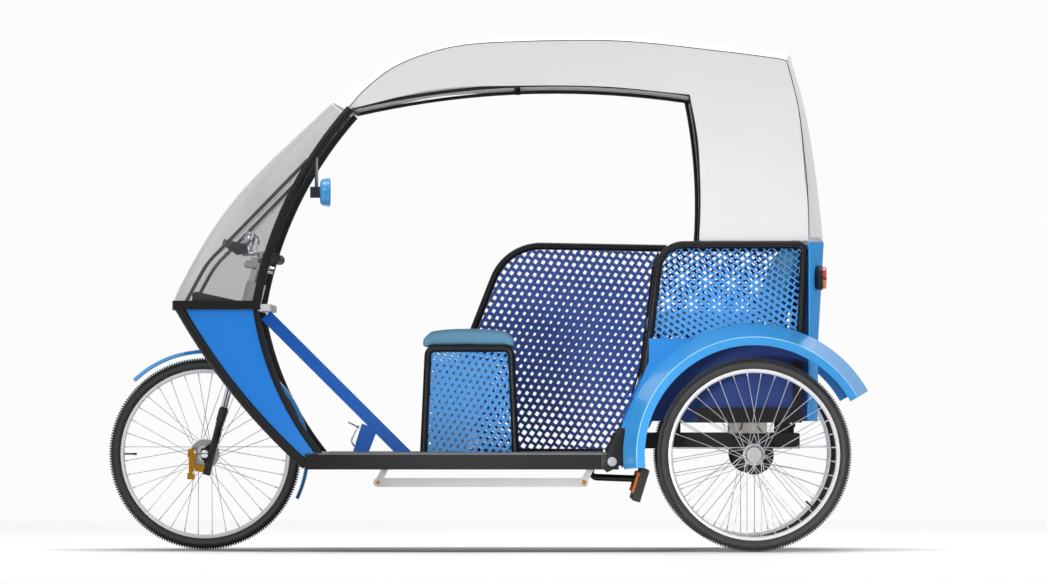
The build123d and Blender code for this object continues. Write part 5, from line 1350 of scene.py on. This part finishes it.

# %% [markdown]
# ## Edge trims
#
# Each fender is folded where its flat flange begins, and a fine bead follows the fold. The bead is
# pale blue as a painted highlight, for the gleam that the rounded fold catches. The back panel's top
# edge is closed with a grey strip. Small trims like these give an edge its thickness, and the strip
# catches the light where a bare edge would look cut from paper.

# %% Beads along the fenders' folds
# The bead's pale blue is a painted highlight along the fender's fold.
bead_painted_highlight = finish("Pale blue bead", "body_blue", rgb(150, 206, 244), rgb(164, 214, 246), 0.3,
                   coat=0.4, grain=None, tone=(3.0, 0.5))
FOLD_R, FOLD_Y = 0.395, 0.5735
FIRST_TURN, LAST_TURN = 29.5, 186.0      # degrees, from level behind the axle, up and over to the front
BEAD_R, BEAD_STEPS = 0.0018, 72
for side, label in ((-1, "left"), (1, "right")):
    degrees_turned = [FIRST_TURN + (LAST_TURN - FIRST_TURN) * n / BEAD_STEPS for n in range(BEAD_STEPS + 1)]
    fold = [REAR_AXLE + Vector(wheel_point(FOLD_R, turn, side * FOLD_Y)) for turn in degrees_turned]
    tube_along(f"fender_bead_{label}", fold, BEAD_R, "frame", bead_painted_highlight)
print("beads: 2, each of", len(fold), "points")

# %% Capping strips
STRIP_LINE = [(1.0830, 1.0415), (1.1280, 1.0415), (1.1280, 1.0520), (1.1200, 1.0580),
              (1.0860, 1.0580), (1.0830, 1.0540)]
STRIP_FACES = (0.4502, 0.4525)
strips = [plate_piece("strip", STRIP_LINE, *(side * y for y in STRIP_FACES)) for side in (-1, 1)]
finish_piece(joined("back_capping_strips", *strips), "back_capping_strips", "frame", locker_grey, smooth=30)
print("capping strips: 2")

# %% [markdown]
# ## The floor mat
#
# The passengers' and the driver's floor is covered with a ribbed mat, so that shoes don't slip. A
# bump in the floor's finish could suggest the ribs, but they would vanish at the edge. So the ribs
# are real: one rib is modelled, and an Array repeats it across the floor.

# %% Ribbed mat
MAT_LOW, MAT_HIGH, MAT_Z = Vector((-0.540, -0.385)), Vector((0.390, 0.385)), 0.3311
RIB_R, RIB_PITCH = 0.0024, 0.0110
rib = bar("rib", (MAT_LOW.x, MAT_LOW.y, MAT_Z), (MAT_HIGH.x, MAT_LOW.y, MAT_Z), RIB_R, sides=8)
copies = rib.modifiers.new("Copies", "ARRAY")
copies.use_relative_offset = False
copies.use_constant_offset = True
copies.constant_offset_displace = (0, RIB_PITCH, 0)
copies.count = int((MAT_HIGH.y - MAT_LOW.y) / RIB_PITCH) + 1
apply_modifiers(rib)
finish_piece(rib, "floor_mat_ribs", "frame", floor_grey, smooth=50)
print("mat faces:", len(rib.data.polygons))

# %% [markdown]
# ## The studio
#
# A product picture of a light vehicle is taken on a pale floor under large soft lights. A long
# lens from far away keeps the wheels round and the far side almost the size of the near side.

# %% Floor
# The floor fades out a few metres away, so that no edge or horizon shows behind the object. Right
# under the object it is painted dark, as the deep shadow that soft lights leave there.
FLOOR_R, FLOOR_Z = 12.0, -0.0005
FADE_FROM, FADE_TO = 2.2, 9.0                     # metres from the middle
SHADOW_LONG, SHADOW_WIDE = 1.50, 0.66             # half axes of the shadow's oval
SHADOW_CORE, SHADOW_EDGE = 0.55, 1.15             # shares of the half axes
PALE, DARK = rgb(248, 248, 248), rgb(12, 12, 13)
clear()
bpy.ops.mesh.primitive_circle_add(vertices=96, radius=FLOOR_R, fill_type="NGON", location=(0, 0, FLOOR_Z))
floor = bpy.context.object
floor.name = "studio_floor"
floor_paint = bpy.data.materials.new("Pale studio floor")
floor_paint.use_nodes = True
tree = floor_paint.node_tree
shader = tree.nodes["Principled BSDF"]
shader.inputs["Roughness"].default_value = 0.45
coords = add_node(tree, "ShaderNodeTexCoord", (-900, 300))
spread = add_node(tree, "ShaderNodeVectorMath", (-700, 300), operation="LENGTH")
fade = add_node(tree, "ShaderNodeMapRange", (-500, 300))
fade.inputs["From Min"].default_value = FADE_FROM
fade.inputs["From Max"].default_value = FADE_TO
fade.inputs["To Min"].default_value = 1.0
fade.inputs["To Max"].default_value = 0.0
tree.links.new(coords.outputs["Object"], spread.inputs[0])
tree.links.new(spread.outputs["Value"], fade.inputs["Value"])
tree.links.new(fade.outputs["Result"], shader.inputs["Alpha"])
near = add_node(tree, "ShaderNodeVectorMath", (-700, 0), operation="MULTIPLY")
near.inputs[1].default_value = (1 / SHADOW_LONG, 1 / SHADOW_WIDE, 0.0)
reach = add_node(tree, "ShaderNodeVectorMath", (-500, 0), operation="LENGTH")
shade = add_node(tree, "ShaderNodeMapRange", (-350, 0), interpolation_type="SMOOTHSTEP")
shade.inputs["From Min"].default_value = SHADOW_CORE
shade.inputs["From Max"].default_value = SHADOW_EDGE
tones = add_node(tree, "ShaderNodeMix", (-150, 0), data_type="RGBA")
tones.inputs["A"].default_value = DARK
tones.inputs["B"].default_value = PALE
tree.links.new(coords.outputs["Object"], near.inputs[0])
tree.links.new(near.outputs["Vector"], reach.inputs[0])
tree.links.new(reach.outputs["Value"], shade.inputs["Value"])
tree.links.new(shade.outputs["Result"], tones.inputs["Factor"])
tree.links.new(tones.outputs["Result"], shader.inputs["Base Color"])
floor.data.materials.append(floor_paint)
print("floor radius in metres:", FLOOR_R)

# %% Soft lights
def soft_light(name, place, aim, size, power, spread=180.0):
    """A rectangular light at a place, turned to shine at another; power in watts."""
    data = bpy.data.lights.new(name, "AREA")
    data.spread = radians(spread)
    data.shape = "RECTANGLE"
    data.size, data.size_y = size
    data.energy = power
    lamp = bpy.data.objects.new(name, data)
    bpy.context.scene.collection.objects.link(lamp)
    lamp.location = place
    lamp.rotation_euler = (Vector(aim) - Vector(place)).to_track_quat("-Z", "Y").to_euler()
    return lamp


soft_light("key", (-3.5, -6.5, 5.0), (0.1, 0, 0.8), (4.0, 3.0), 95.0)
soft_light("fill", (5.0, -6.0, 2.5), (0.1, 0, 0.8), (4.0, 3.0), 40.0)
soft_light("top", (0.0, 0.3, 5.5), (0, 0, 0), (4.5, 3.0), 190.0)
soft_light("back", (1.5, 6.5, 4.0), (0, 0, 0.8), (5.0, 3.0), 60.0)
soft_light("low", (-0.7, -3.0, 0.45), (0.89, 0.0, 0.40), (0.5, 0.4), 3.2, spread=50.0)
print("lights:", len(bpy.data.lights))

# %% The pale surroundings
# Lamps and surroundings light the object; the camera sees the surroundings as plain near-white.
world = bpy.data.worlds.new("Pale studio")
world.use_nodes = True
tree = world.node_tree
glow = tree.nodes["Background"]
glow.inputs["Color"].default_value = (1.0, 1.0, 1.0, 1.0)
glow.inputs["Strength"].default_value = 0.68
seen = add_node(tree, "ShaderNodeBackground", (0, -200))
seen.inputs["Color"].default_value = rgb(252, 252, 252)
seen.inputs["Strength"].default_value = 1.0
directions = add_node(tree, "ShaderNodeTexCoord", (-1000, -400))
heights = add_node(tree, "ShaderNodeSeparateXYZ", (-800, -400))
bands = add_node(tree, "ShaderNodeValToRGB", (-600, -400))
# columns: place from straight down (0) to straight up (1), brightness
BANDS = [(0.0, 0.55), (0.40, 0.62), (0.47, 0.06), (0.53, 0.10), (0.60, 0.85), (0.80, 1.0), (1.0, 0.6)]
for number, (place, level) in enumerate(BANDS):
    stop = bands.color_ramp.elements[number] if number < 2 else bands.color_ramp.elements.new(place)
    stop.position = place
    stop.color = (level, level, level, 1.0)
scale = add_node(tree, "ShaderNodeMapRange", (-700, -400))
scale.inputs["From Min"].default_value = -1.0
mirrored = add_node(tree, "ShaderNodeBackground", (0, -400))
tree.links.new(directions.outputs["Generated"], heights.inputs[0])
tree.links.new(heights.outputs["Z"], scale.inputs["Value"])
tree.links.new(scale.outputs["Result"], bands.inputs["Fac"])
tree.links.new(bands.outputs["Color"], mirrored.inputs["Color"])
rays = add_node(tree, "ShaderNodeLightPath", (-200, 300))
gloss = add_node(tree, "ShaderNodeMixShader", (100, 100))
choose = add_node(tree, "ShaderNodeMixShader", (300, 100))
tree.links.new(rays.outputs["Is Glossy Ray"], gloss.inputs[0])
tree.links.new(glow.outputs[0], gloss.inputs[1])
tree.links.new(mirrored.outputs[0], gloss.inputs[2])
tree.links.new(rays.outputs["Is Camera Ray"], choose.inputs[0])
tree.links.new(gloss.outputs[0], choose.inputs[1])
tree.links.new(seen.outputs[0], choose.inputs[2])
tree.links.new(choose.outputs[0], tree.nodes["World Output"].inputs["Surface"])
bpy.context.scene.world = world
bpy.context.scene.view_settings.view_transform = "Standard"
print("surroundings ready")

# %% Camera
camera_data = bpy.data.cameras.new("side_view")
camera = bpy.data.objects.new("side_view", camera_data)
bpy.context.scene.collection.objects.link(camera)
camera.location = (0.126, -35.3, 0.527)
camera.rotation_euler = (radians(90), 0, 0)
camera_data.sensor_width = 36.0
camera_data.lens = 356.0
camera_data.shift_y = 0.0984
camera_data.clip_end = 300.0
bpy.context.scene.camera = camera
print("camera at", tuple(round(v, 3) for v in camera.location))
